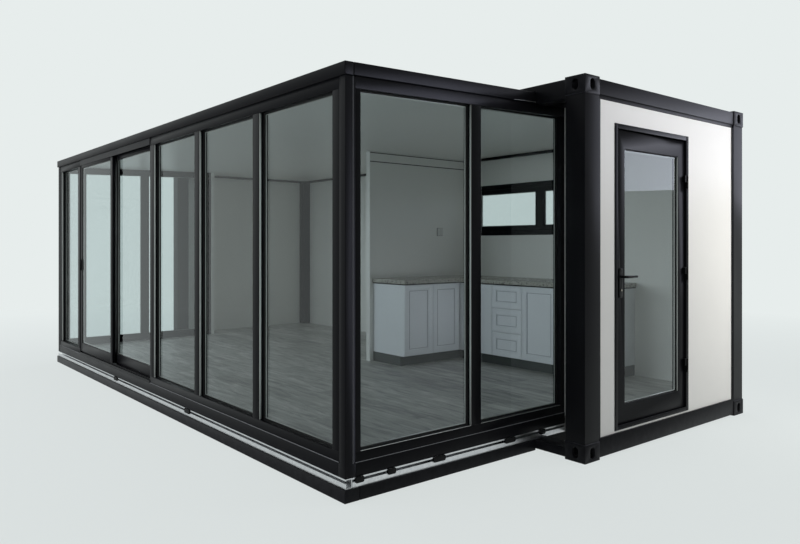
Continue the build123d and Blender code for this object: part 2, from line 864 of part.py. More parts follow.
with BuildPart() as window_stiles:
    for x, far_side in ((far_post_x, 1), (near_post_x, -1)):
        side = x + far_side * front_stile
        block(x, side, bar_front_y, wall_inner_y, glass_bottom, glass_top)
    for x, sx in wing_ends:
        face = x + sx * bar_inset
        back = face + sx * bar_depth
        outer = (wall_inner_y, wall_inner_y + stile_width)
        inner = (pocket_y - end_inner_stile, pocket_y)
        for y0, y1 in (outer, inner):
            raked(y0, y1, level(glass_bottom), head_under, face, back)
    cut_all_grooves()
write(window_stiles, "window_stiles")

with BuildPart() as window_mullions:
    for x0 in front_mullion_x:
        block(x0, x0 + mullion_width, bar_front_y, wall_inner_y, glass_bottom, glass_top)
    for x, sx in wing_ends:
        face = x + sx * bar_inset
        back = face + sx * bar_depth
        mullion_end = end_mullion_y + mullion_width
        raked(end_mullion_y, mullion_end, level(glass_bottom), head_under, face, back)
    cut_all_grooves()
write(window_mullions, "window_mullions")

with BuildPart() as front_glass:
    for x0, x1 in front_panes:
        front_pane(x0, x1)
write(front_glass, "front_glass")

with BuildPart() as end_glass:
    for x, sx in wing_ends:
        for y0, y1 in end_panes:
            end_pane(x, sx, y0, y1)
write(end_glass, "end_glass")

# Roof of the wing: raked edge beams and a panel between them
beam_back_y = front_y + roof_beam_depth
with BuildPart() as wing_roof_beams:
    raked(front_y, beam_back_y, level(head_top), roof_top, wing_far_x, wing_near_x)
    for x, sx in wing_ends:
        beam_y0 = beam_back_y + joint_gap
        raked(beam_y0, pocket_y, roof_under, roof_top, x, x + sx * roof_beam_depth)
write(wing_roof_beams, "wing_roof_beams")

with BuildPart() as wing_roof_panel:
    panel_far = wing_far_x + roof_beam_depth
    panel_near = wing_near_x - roof_beam_depth
    raked(beam_back_y, pocket_y, roof_under, roof_top, panel_far, panel_near)
write(wing_roof_panel, "wing_roof_panel")

# Floor of the wing, on the base beams and the core's front rail
with BuildPart() as wing_floor:
    block(far_post_x, near_post_x, wall_inner_y, floor_joint_y, base_beam_height, floor_top)
write(wing_floor, "wing_floor")

# Sliding door: lower track with two ribs, upper track with three fins
leaf_pitch = leaf_thickness + running_gap + slide_fin + running_gap
outer_leaf_y = wall_front_y + slide_fin + running_gap
inner_leaf_y = outer_leaf_y + leaf_pitch
leaf_rows = (outer_leaf_y, inner_leaf_y)
slide_back_y = inner_leaf_y + leaf_thickness + running_gap + slide_fin
slide_sill_z = sill_top + slide_sill_height
slide_rib_z = slide_sill_z + slide_rib_height
with BuildPart() as sliding_door_tracks:
    block(slide_far_x, slide_near_x, wall_front_y, slide_back_y, sill_top, slide_sill_z)
    for leaf_y in leaf_rows:
        rib_y = leaf_y + (leaf_thickness - slide_rib_width) * half_share
        block(slide_far_x, slide_near_x, rib_y, rib_y + slide_rib_width, slide_sill_z, slide_rib_z)
    web_z = head_top - slide_head_web
    block(slide_far_x, slide_near_x, wall_front_y, slide_back_y, web_z, head_top)
    for row_y in (*leaf_rows, inner_leaf_y + leaf_pitch):
        fin_y = row_y - running_gap - slide_fin
        block(slide_far_x, slide_near_x, fin_y, fin_y + slide_fin, web_z - slide_fin_drop, web_z)
write(sliding_door_tracks, "sliding_door_tracks")

# Two sliding leaves: stiles, rails with their rollers, and glass
leaf_overlap = leaf_stile
slide_width = slide_near_x - slide_far_x
leaf_width = (slide_width - running_gap - running_gap + leaf_overlap) * half_share
leaf_low = slide_rib_z + running_gap
leaf_high = head_top - slide_head_web - running_gap
pull_level = leaf_low + pull_rise
leaf_glass_low = leaf_low + leaf_bottom_rail
leaf_glass_high = leaf_high - leaf_top_rail
leaves = {
    "outer_leaf": (slide_far_x + running_gap, outer_leaf_y),
    "inner_leaf": (slide_near_x - running_gap - leaf_width, inner_leaf_y),
}
for name, (x0, y0) in leaves.items():
    x1 = x0 + leaf_width
    y1 = y0 + leaf_thickness
    glass_y0 = y0 + (leaf_thickness - glass_thickness) * half_share
    glass_box = (
        x0 + leaf_stile - glass_bite,
        x1 - leaf_stile + glass_bite,
        glass_y0,
        glass_y0 + glass_thickness,
        leaf_glass_low - glass_bite,
        leaf_glass_high + glass_bite,
    )
    with BuildPart() as leaf_stiles:
        block(x0, x0 + leaf_stile, y0, y1, leaf_low, leaf_high)
        block(x1 - leaf_stile, x1, y0, y1, leaf_low, leaf_high)
        block(*glass_box, Mode.SUBTRACT)
    write(leaf_stiles, name + "_stiles")

    with BuildPart() as leaf_rails:
        block(x0 + leaf_stile, x1 - leaf_stile, y0, y1, leaf_low, leaf_glass_low)
        block(x0 + leaf_stile, x1 - leaf_stile, y0, y1, leaf_glass_high, leaf_high)
        block(*glass_box, Mode.SUBTRACT)
        roller_z = slide_rib_z + seat_gap + roller_radius
        roller_y = y0 + (leaf_thickness + roller_width) * half_share
        for roller_x in (x0 + roller_inset, x1 - roller_inset):
            with BuildSketch(Plane((roller_x, roller_y, roller_z), (1, 0, 0), (0, -1, 0))):
                Circle(roller_radius)
            extrude(amount=roller_width)
    write(leaf_rails, name + "_rails")

    with BuildPart() as leaf_glass:
        block(*glass_box)
    write(leaf_glass, name + "_glass")

# Pull handle on the outer leaf's far stile
with BuildPart() as outer_leaf_pull:
    pull_x0 = slide_far_x + running_gap + (leaf_stile - pull_width) * half_share
    pull_x1 = pull_x0 + pull_width
    pull_z0 = pull_level - pull_height * half_share
    pull_z1 = pull_z0 + pull_height
    block(pull_x0, pull_x1, outer_leaf_y - pull_plate, outer_leaf_y, pull_z0, pull_z1)
    block(pull_x0, pull_x0 + pull_lip, outer_leaf_y - pull_reach, outer_leaf_y, pull_z0, pull_z1)
write(outer_leaf_pull, "outer_leaf_pull")

# Kitchen: the partition that the side run stands against
partition_x1 = door_end_x - partition_place
partition_x0 = partition_x1 - partition_thickness
with BuildPart() as kitchen_partition:
    outline = (
        (back_y0 - partition_reach, floor_top),
        (back_y0, floor_top),
        (back_y0, panel_top),
        (back_y - lip_back, panel_top),
        (back_y - lip_back, ceiling),
        (back_y0 - partition_reach, ceiling),
    )
    section_along_x(outline, partition_x0, partition_x1)
write(kitchen_partition, "kitchen_partition")

# Base cabinets in an L, with a recessed plinth, shaker fronts and a worktop
side_front_x = partition_x1 + side_run_depth
side_y0 = back_y0 - side_run_reach
back_front_y = back_y0 - back_run_depth
back_x1 = partition_x1 + back_run_length
carcass_z0 = floor_top + plinth_height
carcass_z1 = counter_top - counter_thickness
with BuildPart() as kitchen_carcasses:
    section_along_z(
        (
            (partition_x1, side_y0),
            (side_front_x, side_y0),
            (side_front_x, back_front_y),
            (back_x1, back_front_y),
            (back_x1, back_y0),
            (partition_x1, back_y0),
        ),
        carcass_z0,
        carcass_z1,
    )
write(kitchen_carcasses, "kitchen_carcasses")

with BuildPart() as kitchen_plinth:
    section_along_z(
        (
            (partition_x1, side_y0),
            (side_front_x - plinth_recess, side_y0),
            (side_front_x - plinth_recess, back_front_y + plinth_recess),
            (back_x1, back_front_y + plinth_recess),
            (back_x1, back_y0),
            (partition_x1, back_y0),
        ),
        floor_top,
        carcass_z0,
    )
write(kitchen_plinth, "kitchen_plinth")

with BuildPart() as kitchen_worktop:
    reach = front_thickness + counter_overhang
    section_along_z(
        (
            (partition_x1, side_y0 - counter_overhang),
            (side_front_x + reach, side_y0 - counter_overhang),
            (side_front_x + reach, back_front_y - reach),
            (back_x1 + counter_overhang, back_front_y - reach),
            (back_x1 + counter_overhang, back_y0),
            (partition_x1, back_y0),
        ),
        carcass_z1,
        counter_top,
    )
write(kitchen_worktop, "kitchen_worktop")


def shaker_front(corner, along, out, width, z0, z1):
    """A door or drawer front with a raised border round a sunk panel."""
    height = z1 - z0
    face = Plane(corner, along, out)
    with BuildSketch(face) as board:
        with Locations((width * half_share, 0)):
            Rectangle(width, height)
    extrude(board.sketch, amount=front_thickness)
    with BuildSketch(face.offset(front_thickness - shaker_recess)) as field:
        with Locations((width * half_share, 0)):
            Rectangle(width - shaker_border - shaker_border, height - shaker_border - shaker_border)
    extrude(field.sketch, amount=shaker_recess, mode=Mode.SUBTRACT)


front_z0 = carcass_z0 + front_gap
front_z1 = carcass_z1 - front_gap
front_middle = (front_z0 + front_z1) * half_share
side_front_y1 = back_front_y - front_thickness - front_gap
side_door = (side_front_y1 - side_y0) / side_door_count
corner_x0 = side_front_x + front_thickness + front_gap
drawer_x0 = corner_x0 + corner_front_width
drawer_pitch = (front_z1 - front_z0 + front_gap) / drawer_count
back_door = (back_x1 - drawer_x0 - drawer_width) / back_door_count
with BuildPart() as kitchen_fronts:
    for door in range(side_door_count):
        corner = (side_front_x, side_y0 + door * side_door, front_middle)
        shaker_front(corner, (0, 1, 0), (1, 0, 0), side_door - front_gap, front_z0, front_z1)
    corner_x1 = drawer_x0 - front_gap
    block(corner_x0, corner_x1, back_front_y - front_thickness, back_front_y, front_z0, front_z1)
    for drawer in range(drawer_count):
        z0 = front_z0 + drawer * drawer_pitch
        z1 = z0 + drawer_pitch - front_gap
        corner = (drawer_x0, back_front_y, (z0 + z1) * half_share)
        shaker_front(corner, (1, 0, 0), (0, -1, 0), drawer_width - front_gap, z0, z1)
    for door in range(back_door_count):
        corner = (drawer_x0 + drawer_width + door * back_door, back_front_y, front_middle)
        shaker_front(corner, (1, 0, 0), (0, -1, 0), back_door - front_gap, front_z0, front_z1)
write(kitchen_fronts, "kitchen_fronts")
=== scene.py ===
import json
import math

import bmesh
import bpy
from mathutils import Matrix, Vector


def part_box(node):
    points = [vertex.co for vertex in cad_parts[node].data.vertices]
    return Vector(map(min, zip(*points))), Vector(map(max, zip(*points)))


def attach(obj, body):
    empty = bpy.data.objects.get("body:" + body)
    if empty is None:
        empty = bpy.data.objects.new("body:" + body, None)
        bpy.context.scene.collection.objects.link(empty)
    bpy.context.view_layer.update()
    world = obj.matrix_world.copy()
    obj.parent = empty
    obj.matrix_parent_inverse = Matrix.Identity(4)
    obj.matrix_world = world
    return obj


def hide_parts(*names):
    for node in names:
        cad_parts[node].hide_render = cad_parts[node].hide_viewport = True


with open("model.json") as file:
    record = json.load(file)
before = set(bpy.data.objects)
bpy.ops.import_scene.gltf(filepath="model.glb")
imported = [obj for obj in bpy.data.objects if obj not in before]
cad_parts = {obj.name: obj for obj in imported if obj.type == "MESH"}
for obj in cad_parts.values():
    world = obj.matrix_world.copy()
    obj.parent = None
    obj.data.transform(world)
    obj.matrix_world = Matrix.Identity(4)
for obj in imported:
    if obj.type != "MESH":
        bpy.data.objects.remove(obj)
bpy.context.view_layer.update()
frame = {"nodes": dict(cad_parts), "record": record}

MM = 0.001
X, Y, Z = Vector((1, 0, 0)), Vector((0, 1, 0)), Vector((0, 0, 1))
# How deep the bars' grooves hold the edges of the panes
GLASS_BITE = 12 * MM
# Points of a CAD mesh this close together are one corner
SAME_CORNER = 0.01 * MM
# Points this close to a line or a face lie on it
ON_LINE = 1 * MM
# The corners of a loop, each as the first or second of two sides and of two levels
LOOP = ((0, 0), (1, 0), (1, 1), (0, 1))
# Socket numbers of a Mix node, on colours and on vectors
FACTOR = 0
COLOUR_A, COLOUR_B, COLOUR = 6, 7, 2
VECTOR_A, VECTOR_B, VECTOR = 4, 5, 1


def srgb(code):
    """A hex sRGB colour as linear red, green, blue and a full alpha."""
    parts = [int(code[i : i + 2], 16) / 255 for i in (1, 3, 5)]
    return (*[c / 12.92 if c <= 0.04045 else ((c + 0.055) / 1.055) ** 2.4 for c in parts], 1.0)


def add(tree, kind, inputs=None, **settings):
    """Adds a node, sets its properties, then gives its sockets values or links."""
    node = tree.nodes.new(kind)
    for name, value in settings.items():
        setattr(node, name, value)
    for name, value in (inputs or {}).items():
        if isinstance(value, bpy.types.NodeSocket):
            tree.links.new(value, node.inputs[name])
        else:
            node.inputs[name].default_value = value
    return node


def blank_material(name):
    """A material with an empty node tree, and that tree."""
    material = bpy.data.materials.new(name)
    material.use_nodes = True
    material.node_tree.nodes.clear()
    return material, material.node_tree


def painted_metal(name, colour, worn_and_highlight, shine, peel_mm, peel_depth_mm, rough, dust, sheen=0.3):
    """Satin paint on metal: an orange-peel skin, edges rubbed lighter as wear and as a painted edge
    highlight, and dust low down.
    """
    material, tree = blank_material(name)
    place = add(tree, "ShaderNodeTexCoord").outputs["Object"]
    # Slow patches 300 mm across, where the coat took a little thicker or thinner
    patch = add(tree, "ShaderNodeTexNoise", {"Vector": place, "Scale": 1 / 0.3, "Detail": 3.0})
    coat = add(
        tree,
        "ShaderNodeMix",
        {FACTOR: patch.outputs["Fac"], COLOUR_A: srgb(colour), COLOUR_B: srgb(shine)},
        data_type="RGBA",
    )
    gloss = add(
        tree,
        "ShaderNodeMapRange",
        {"Value": patch.outputs["Fac"], "To Min": rough - 0.06, "To Max": rough + 0.08},
    )
    # Rubbed corners, 3 mm wide, in spots 40 mm across: partly wear, partly a painted highlight on the edges
    edge = add(tree, "ShaderNodeBevel", {"Radius": 3 * MM}, samples=4)
    face = add(tree, "ShaderNodeNewGeometry")
    turn = add(
        tree,
        "ShaderNodeVectorMath",
        {0: edge.outputs["Normal"], 1: face.outputs["Normal"]},
        operation="DOT_PRODUCT",
    )
    rub_and_highlight = add(
        tree,
        "ShaderNodeMapRange",
        {"Value": turn.outputs["Value"], "From Min": 0.98, "From Max": 0.75},
    )
    grain = add(tree, "ShaderNodeTexNoise", {"Vector": place, "Scale": 1 / 0.04, "Detail": 4.0})
    spots = add(
        tree,
        "ShaderNodeMapRange",
        {"Value": grain.outputs["Fac"], "From Min": 0.45, "From Max": 0.7},
    )
    wear_and_highlight = add(
        tree,
        "ShaderNodeMath",
        {0: rub_and_highlight.outputs["Result"], 1: spots.outputs["Result"]},
        operation="MULTIPLY",
    )
    rubbed_and_highlit = add(
        tree,
        "ShaderNodeMix",
        {FACTOR: wear_and_highlight.outputs["Value"], COLOUR_A: coat.outputs[COLOUR], COLOUR_B: srgb(worn_and_highlight)},
        data_type="RGBA",
    )
    # Dust settles on the lowest 200 mm, in uneven streaks
    height = add(tree, "ShaderNodeSeparateXYZ", {"Vector": place})
    low = add(
        tree,
        "ShaderNodeMapRange",
        {"Value": height.outputs["Z"], "From Min": 0.2, "From Max": 0.0, "To Max": dust},
    )
    streaks = add(
        tree,
        "ShaderNodeMath",
        {0: low.outputs["Result"], 1: grain.outputs["Fac"]},
        operation="MULTIPLY",
    )
    dusty = add(
        tree,
        "ShaderNodeMix",
        {FACTOR: streaks.outputs["Value"], COLOUR_A: rubbed_and_highlit.outputs[COLOUR], COLOUR_B: srgb("#67676a")},
        data_type="RGBA",
    )
    # The skin of the coat; real peel is about 2 mm, drawn coarser so that it shows
    peel = add(tree, "ShaderNodeTexNoise", {"Vector": place, "Scale": 1 / (peel_mm * MM), "Detail": 2.0})
    bump = add(
        tree,
        "ShaderNodeBump",
        {
            "Height": peel.outputs["Fac"],
            "Distance": peel_depth_mm * MM,
            "Strength": 0.5,
            "Normal": edge.outputs["Normal"],
        },
    )
    skin = add(
        tree,
        "ShaderNodeBsdfPrincipled",
        {
            "Base Color": dusty.outputs[COLOUR],
            "Roughness": gloss.outputs["Result"],
            "Specular IOR Level": sheen,
            "Normal": bump.outputs["Normal"],
        },
    )
    add(tree, "ShaderNodeOutputMaterial", {"Surface": skin.outputs["BSDF"]})
    return material


# Powder-coated steel: satin black with a faint blue cast, edges rubbed to dark grey, partly wear and partly a
# painted edge highlight
black_steel = painted_metal(
    "powder_coated_steel_black", "#101012", "#46464b", "#17171a",
    peel_mm=7, peel_depth_mm=0.25, rough=0.36, dust=0.2, sheen=0.05,
)
# Powder-coated aluminium extrusion: smoother and a little glossier than the steel
black_aluminium = painted_metal(
    "powder_coated_aluminium_black", "#0f0f11", "#4a4a4f", "#151518",
    peel_mm=5, peel_depth_mm=0.12, rough=0.3, dust=0.1, sheen=0.05,
)
# Cast steel under paint: a sandy, lumpy skin
cast_steel = painted_metal(
    "painted_cast_steel_black", "#121214", "#48484d", "#1a1a1e",
    peel_mm=11, peel_depth_mm=0.9, rough=0.42, dust=0.2, sheen=0.06,
)
# Satin black lacquer on zinc, on the handles and hinges
black_fittings = painted_metal(
    "lacquered_zinc_black", "#0d0d0e", "#38383a", "#131315",
    peel_mm=4, peel_depth_mm=0.08, rough=0.28, dust=0.0, sheen=0.1,
)
# Glass-filled nylon, matt black with a fine moulded grain
black_nylon = painted_metal(
    "moulded_nylon_black", "#0e0e0e", "#2a2a2a", "#141414",
    peel_mm=3, peel_depth_mm=0.3, rough=0.55, dust=0.2, sheen=0.08,
)
# Prepainted steel sandwich panel: warm white, smooth, with a slow waviness of the skin
white_panel = painted_metal(
    "prepainted_steel_warm_white", "#f1efea", "#e3e0da", "#f6f4ef",
    peel_mm=240, peel_depth_mm=1.4, rough=0.34, dust=0.12, sheen=0.2,
)
# Sprayed lacquer on fibreboard: cool white, close and satin
cabinet_lacquer = painted_metal(
    "sprayed_lacquer_white", "#ecedf0", "#dfe0e4", "#f4f5f7",
    peel_mm=4, peel_depth_mm=0.06, rough=0.38, dust=0.1,
)
# The same lacquer, grey: painted shade in the quirks of the cabinet fronts
groove_shade_lacquer = painted_metal(
    "lacquer_grey_painted_groove_shade", "#8d9199", "#a2a6ad", "#999da5",
    peel_mm=4, peel_depth_mm=0.06, rough=0.45, dust=0.0,
)
# Paint over a weld: rougher than the bars beside it, and greyer as a painted highlight along the castings'
# edges
weld_paint_and_highlight = painted_metal(
    "painted_weld_grey_highlight", "#2a2a2e", "#5c5c62", "#38383d",
    peel_mm=4, peel_depth_mm=0.4, rough=0.4, dust=0.0, sheen=0.1,
)
# Dark melamine board behind the cabinets' toes: even, dull and close-grained
plinth_board = painted_metal(
    "melamine_dark_grey", "#4b4e4c", "#5a5d5b", "#545755",
    peel_mm=3, peel_depth_mm=0.05, rough=0.5, dust=0.2,
)


def galvanised_steel():
    """Hot-dip zinc: bright metal with leaf-like spangles 14 mm across and dull smears."""
    material, tree = blank_material("galvanised_steel")
    place = add(tree, "ShaderNodeTexCoord").outputs["Object"]
    # Spangles with edges bent by a 30 mm noise
    warp = add(tree, "ShaderNodeTexNoise", {"Vector": place, "Scale": 1 / 0.03, "Detail": 2.0})
    bend = add(
        tree,
        "ShaderNodeMix",
        {FACTOR: 0.012, VECTOR_A: place, VECTOR_B: warp.outputs["Color"]},
        data_type="VECTOR",
    )
    spangle = add(tree, "ShaderNodeTexVoronoi", {"Vector": bend.outputs[VECTOR], "Scale": 1 / 0.014})
    tone = add(tree, "ShaderNodeSeparateColor", {"Color": spangle.outputs["Color"]})
    zinc = add(
        tree,
        "ShaderNodeMix",
        {FACTOR: tone.outputs["Red"], COLOUR_A: srgb("#c9cbce"), COLOUR_B: srgb("#d9dadc")},
        data_type="RGBA",
    )
    # Dull smears about 120 mm across
    smear = add(tree, "ShaderNodeTexNoise", {"Vector": place, "Scale": 1 / 0.12, "Detail": 4.0})
    dull = add(
        tree,
        "ShaderNodeMapRange",
        {"Value": smear.outputs["Fac"], "From Min": 0.55, "From Max": 0.85, "To Max": 0.3},
    )
    grimy = add(
        tree,
        "ShaderNodeMix",
        {FACTOR: dull.outputs["Result"], COLOUR_A: zinc.outputs[COLOUR], COLOUR_B: srgb("#8f8e8c")},
        data_type="RGBA",
    )
    rough = add(tree, "ShaderNodeMapRange", {"Value": tone.outputs["Green"], "To Min": 0.3, "To Max": 0.4})
    skin = add(
        tree,
        "ShaderNodeBsdfPrincipled",
        {"Base Color": grimy.outputs[COLOUR], "Metallic": 1.0, "Roughness": rough.outputs["Result"]},
    )
    add(tree, "ShaderNodeOutputMaterial", {"Surface": skin.outputs["BSDF"]})
    return material


def tinted_glass():
    """Grey double glazing: a clear tint that the room shows through, and a sharp reflection."""
    material, tree = blank_material("grey_float_glass")
    side = add(tree, "ShaderNodeNewGeometry")
    mirror = add(tree, "ShaderNodeFresnel", {"IOR": 1.4})
    front = add(tree, "ShaderNodeMath", {0: 1.0, 1: side.outputs["Backfacing"]}, operation="SUBTRACT")
    amount = add(
        tree,
        "ShaderNodeMath",
        {0: mirror.outputs["Fac"], 1: front.outputs["Value"]},
        operation="MULTIPLY",
    )
    clear = add(tree, "ShaderNodeBsdfTransparent", {"Color": srgb("#f0f4f4")})
    gloss = add(tree, "ShaderNodeBsdfGlossy", {"Color": srgb("#eef2f3"), "Roughness": 0.01})
    both = add(
        tree,
        "ShaderNodeMixShader",
        {0: amount.outputs["Value"], 1: clear.outputs["BSDF"], 2: gloss.outputs["BSDF"]},
    )
    add(tree, "ShaderNodeOutputMaterial", {"Surface": both.outputs["Shader"]})
    return material


def plank_floor():
    """Grey oak-look boards 180 mm wide along the house, with grain and dark joints."""
    material, tree = blank_material("laminate_boards_grey_oak")
    place = add(tree, "ShaderNodeTexCoord").outputs["Object"]
    plank = add(
        tree,
        "ShaderNodeTexBrick",
        {
            "Vector": place,
            "Color1": srgb("#b0aeaa"),
            "Color2": srgb("#d1cfca"),
            "Mortar": srgb("#6d6b66"),
            "Scale": 1.0,
            "Mortar Size": 1.5 * MM,
            "Mortar Smooth": 0.3,
            "Brick Width": 1.2,
            "Row Height": 0.18,
        },
        offset=0.37,
        offset_frequency=2,
    )
    # Grain drawn out along the boards, in soft streaks 50 mm across and 330 mm long
    stretch = add(tree, "ShaderNodeMapping", {"Vector": place, "Scale": (1 / 0.33, 1 / 0.05, 1.0)})
    grain = add(
        tree,
        "ShaderNodeTexNoise",
        {"Vector": stretch.outputs["Vector"], "Scale": 1.0, "Detail": 5.0, "Distortion": 0.9},
    )
    dark = add(
        tree,
        "ShaderNodeMapRange",
        {"Value": grain.outputs["Fac"], "From Min": 0.3, "From Max": 0.7, "To Min": 0.5, "To Max": 1.22},
    )
    colour = add(
        tree,
        "ShaderNodeMix",
        {FACTOR: 1.0, COLOUR_A: plank.outputs["Color"], COLOUR_B: dark.outputs["Result"]},
        data_type="RGBA",
        blend_type="MULTIPLY",
    )
    rough = add(tree, "ShaderNodeMapRange", {"Value": grain.outputs["Fac"], "To Min": 0.34, "To Max": 0.52})
    joint = add(
        tree,
        "ShaderNodeBump",
        {"Height": plank.outputs["Fac"], "Distance": 1 * MM, "Strength": 0.6},
        invert=True,
    )
    skin = add(
        tree,
        "ShaderNodeBsdfPrincipled",
        {
            "Base Color": colour.outputs[COLOUR],
            "Roughness": rough.outputs["Result"],
            "Normal": joint.outputs["Normal"],
        },
    )
    add(tree, "ShaderNodeOutputMaterial", {"Surface": skin.outputs["BSDF"]})
    return material


def stone_worktop():
    """Polished engineered stone: beige-grey with chips of up to 9 mm and a soft shine."""
    material, tree = blank_material("engineered_stone_beige_grey")
    place = add(tree, "ShaderNodeTexCoord").outputs["Object"]
    # Clouds 150 mm across in the ground
    cloud = add(tree, "ShaderNodeTexNoise", {"Vector": place, "Scale": 1 / 0.15, "Detail": 5.0})
    ground = add(
        tree,
        "ShaderNodeMix",
        {FACTOR: cloud.outputs["Fac"], COLOUR_A: srgb("#979389"), COLOUR_B: srgb("#b4b1a7")},
        data_type="RGBA",
    )
    # One cell in six or so is a dark chip
    cells = add(tree, "ShaderNodeTexVoronoi", {"Vector": place, "Scale": 1 / 0.009})
    tone = add(tree, "ShaderNodeSeparateColor", {"Color": cells.outputs["Color"]})
    pick = add(tree, "ShaderNodeMapRange", {"Value": tone.outputs["Red"], "From Min": 0.8, "From Max": 0.85})
    chips = add(
        tree,
        "ShaderNodeMix",
        {FACTOR: pick.outputs["Result"], COLOUR_A: ground.outputs[COLOUR], COLOUR_B: srgb("#67645c")},
        data_type="RGBA",
    )
    rough = add(tree, "ShaderNodeMapRange", {"Value": cloud.outputs["Fac"], "To Min": 0.16, "To Max": 0.3})
    skin = add(
        tree,
        "ShaderNodeBsdfPrincipled",
        {"Base Color": chips.outputs[COLOUR], "Roughness": rough.outputs["Result"]},
    )
    add(tree, "ShaderNodeOutputMaterial", {"Surface": skin.outputs["BSDF"]})
    return material


def drawn_metal(name, colour, shade, rough, line_mm):
    """Bare metal drawn through a die: fine lines along its length and a soft shine."""
    material, tree = blank_material(name)
    place = add(tree, "ShaderNodeTexCoord").outputs["Object"]
    # Lines 400 mm long
    across = 1 / (line_mm * MM)
    stretch = add(tree, "ShaderNodeMapping", {"Vector": place, "Scale": (across, across, 1 / 0.4)})
    lines = add(
        tree,
        "ShaderNodeTexNoise",
        {"Vector": stretch.outputs["Vector"], "Scale": 1.0, "Detail": 3.0},
    )
    tone = add(
        tree,
        "ShaderNodeMix",
        {FACTOR: lines.outputs["Fac"], COLOUR_A: srgb(colour), COLOUR_B: srgb(shade)},
        data_type="RGBA",
    )
    gloss = add(
        tree,
        "ShaderNodeMapRange",
        {"Value": lines.outputs["Fac"], "To Min": rough - 0.08, "To Max": rough + 0.08},
    )
    skin = add(
        tree,
        "ShaderNodeBsdfPrincipled",
        {"Base Color": tone.outputs[COLOUR], "Metallic": 1.0, "Roughness": gloss.outputs["Result"]},
    )
    add(tree, "ShaderNodeOutputMaterial", {"Surface": skin.outputs["BSDF"]})
    return material


def matt_compound(name, colour, shade, rough):
    """Rubber, sealant or moulding compound: matt, with a faint bloom."""
    material, tree = blank_material(name)
    place = add(tree, "ShaderNodeTexCoord").outputs["Object"]
    # Bloom in clouds 50 mm across
    bloom = add(tree, "ShaderNodeTexNoise", {"Vector": place, "Scale": 1 / 0.05, "Detail": 4.0})
    tone = add(
        tree,
        "ShaderNodeMix",
        {FACTOR: bloom.outputs["Fac"], COLOUR_A: srgb(colour), COLOUR_B: srgb(shade)},
        data_type="RGBA",
    )
    gloss = add(
        tree,
        "ShaderNodeMapRange",
        {"Value": bloom.outputs["Fac"], "To Min": rough - 0.1, "To Max": rough + 0.1},
    )
    skin = add(
        tree,
        "ShaderNodeBsdfPrincipled",
        {"Base Color": tone.outputs[COLOUR], "Roughness": gloss.outputs["Result"], "Specular IOR Level": 0.3},
    )
    add(tree, "ShaderNodeOutputMaterial", {"Surface": skin.outputs["BSDF"]})
    return material


# Hot-dip zinc on the track channels: bright, spangled and a little smeared
galvanised = galvanised_steel()
# Grey float glass: clear enough to show the kitchen, with a sharp mirror at low angles
glass = tinted_glass()
# Laminate boards: grey oak print with dark joints, satin underfoot
boards = plank_floor()
# Engineered stone: speckled beige-grey, polished
worktop_stone = stone_worktop()
# Mill-finish aluminium: the spacer bars between the sheets of glass, and the bright bead edges, trims and
# strips that are painted highlights
aluminium_and_highlight = drawn_metal("mill_finish_aluminium_and_painted_highlight", "#c3c4c2", "#a9aaa8", 0.38, 3)
# Satin nickel on brass: the key plugs
satin_nickel = drawn_metal("satin_nickel", "#b8b3a8", "#99948a", 0.3, 1)
# EPDM rubber: the gaskets, the door seal and the partition's top trims; on the worktop's strip and round the
# switch it is a painted shadow
rubber_and_painted_shadow = matt_compound("epdm_rubber_black_and_painted_shadow", "#131313", "#1f1f1f", 0.6)
# Neutral-cure sealant: the grey joints beside the window bars, light enough to be painted highlights along
# them
sealant_and_highlight_grey = matt_compound("silicone_sealant_grey_painted_highlight", "#7a7b7d", "#88898b", 0.5)
# Urea moulding: the white switch plate
switch_white = matt_compound("moulded_urea_white", "#d9d8d4", "#e4e3df", 0.35)

finishes = {
    "black_steel": black_steel,
    "galvanised_steel": galvanised,
    "black_aluminium": black_aluminium,
    "black_fittings": black_fittings,
    "black_blocks": black_nylon,
    "grey_glass": glass,
    "white_panel": white_panel,
    "floor_boards": boards,
    "cabinet_paint": cabinet_lacquer,
    "plinth_board": plinth_board,
    "worktop_stone": worktop_stone,
}
slot_of = {part["node"]: part["material_slot"] for part in frame["record"]["subparts"]}
body_of = {node: body for body, nodes in frame["record"]["behaviour"]["bodies"].items() for node in nodes}


def finish_of(node):
    """The finish of a CAD piece, by its slot, with the castings' own skin."""
    return cast_steel if node == "corner_castings" else finishes[slot_of[node]]


for node, item in frame["nodes"].items():
    item.data.materials.clear()
    item.data.materials.append(finish_of(node))


def placed(name, mesh, body):
    """An object of a mesh, at the origin and on its body; its material comes with the mesh."""
    piece = bpy.data.objects.new(name, mesh)
    bpy.context.collection.objects.link(piece)
    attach(piece, body)
    return piece


def mesh_piece(name, work, material, body):
    """A piece of a worked mesh, which is used up."""
    mesh = bpy.data.meshes.new(name)
    work.to_mesh(mesh)
    work.free()
    mesh.materials.append(material)
    return placed(name, mesh, body)


def cad_copy(node):
    """A worked copy of a CAD piece's mesh, with its loose triangles joined at their corners."""
    work = bmesh.new()
    work.from_mesh(frame["nodes"][node].data)
    bmesh.ops.remove_doubles(work, verts=work.verts, dist=SAME_CORNER)
    return work


def rounded(node, radius_mm):
    """A copy of a CAD piece with its sharp edges rounded off, which stands for it."""
    work = cad_copy(node)
    bmesh.ops.dissolve_limit(work, angle_limit=math.radians(0.5), verts=work.verts, edges=work.edges)
    for face in work.faces:
        face.smooth = True
    piece = mesh_piece(node + "_rounded", work, finish_of(node), body_of[node])
    bevel = piece.modifiers.new("edges", "BEVEL")
    bevel.limit_method = "ANGLE"
    bevel.angle_limit = math.radians(40)
    bevel.width = radius_mm * MM
    bevel.segments = 2
    bevel.harden_normals = True
    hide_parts(node)


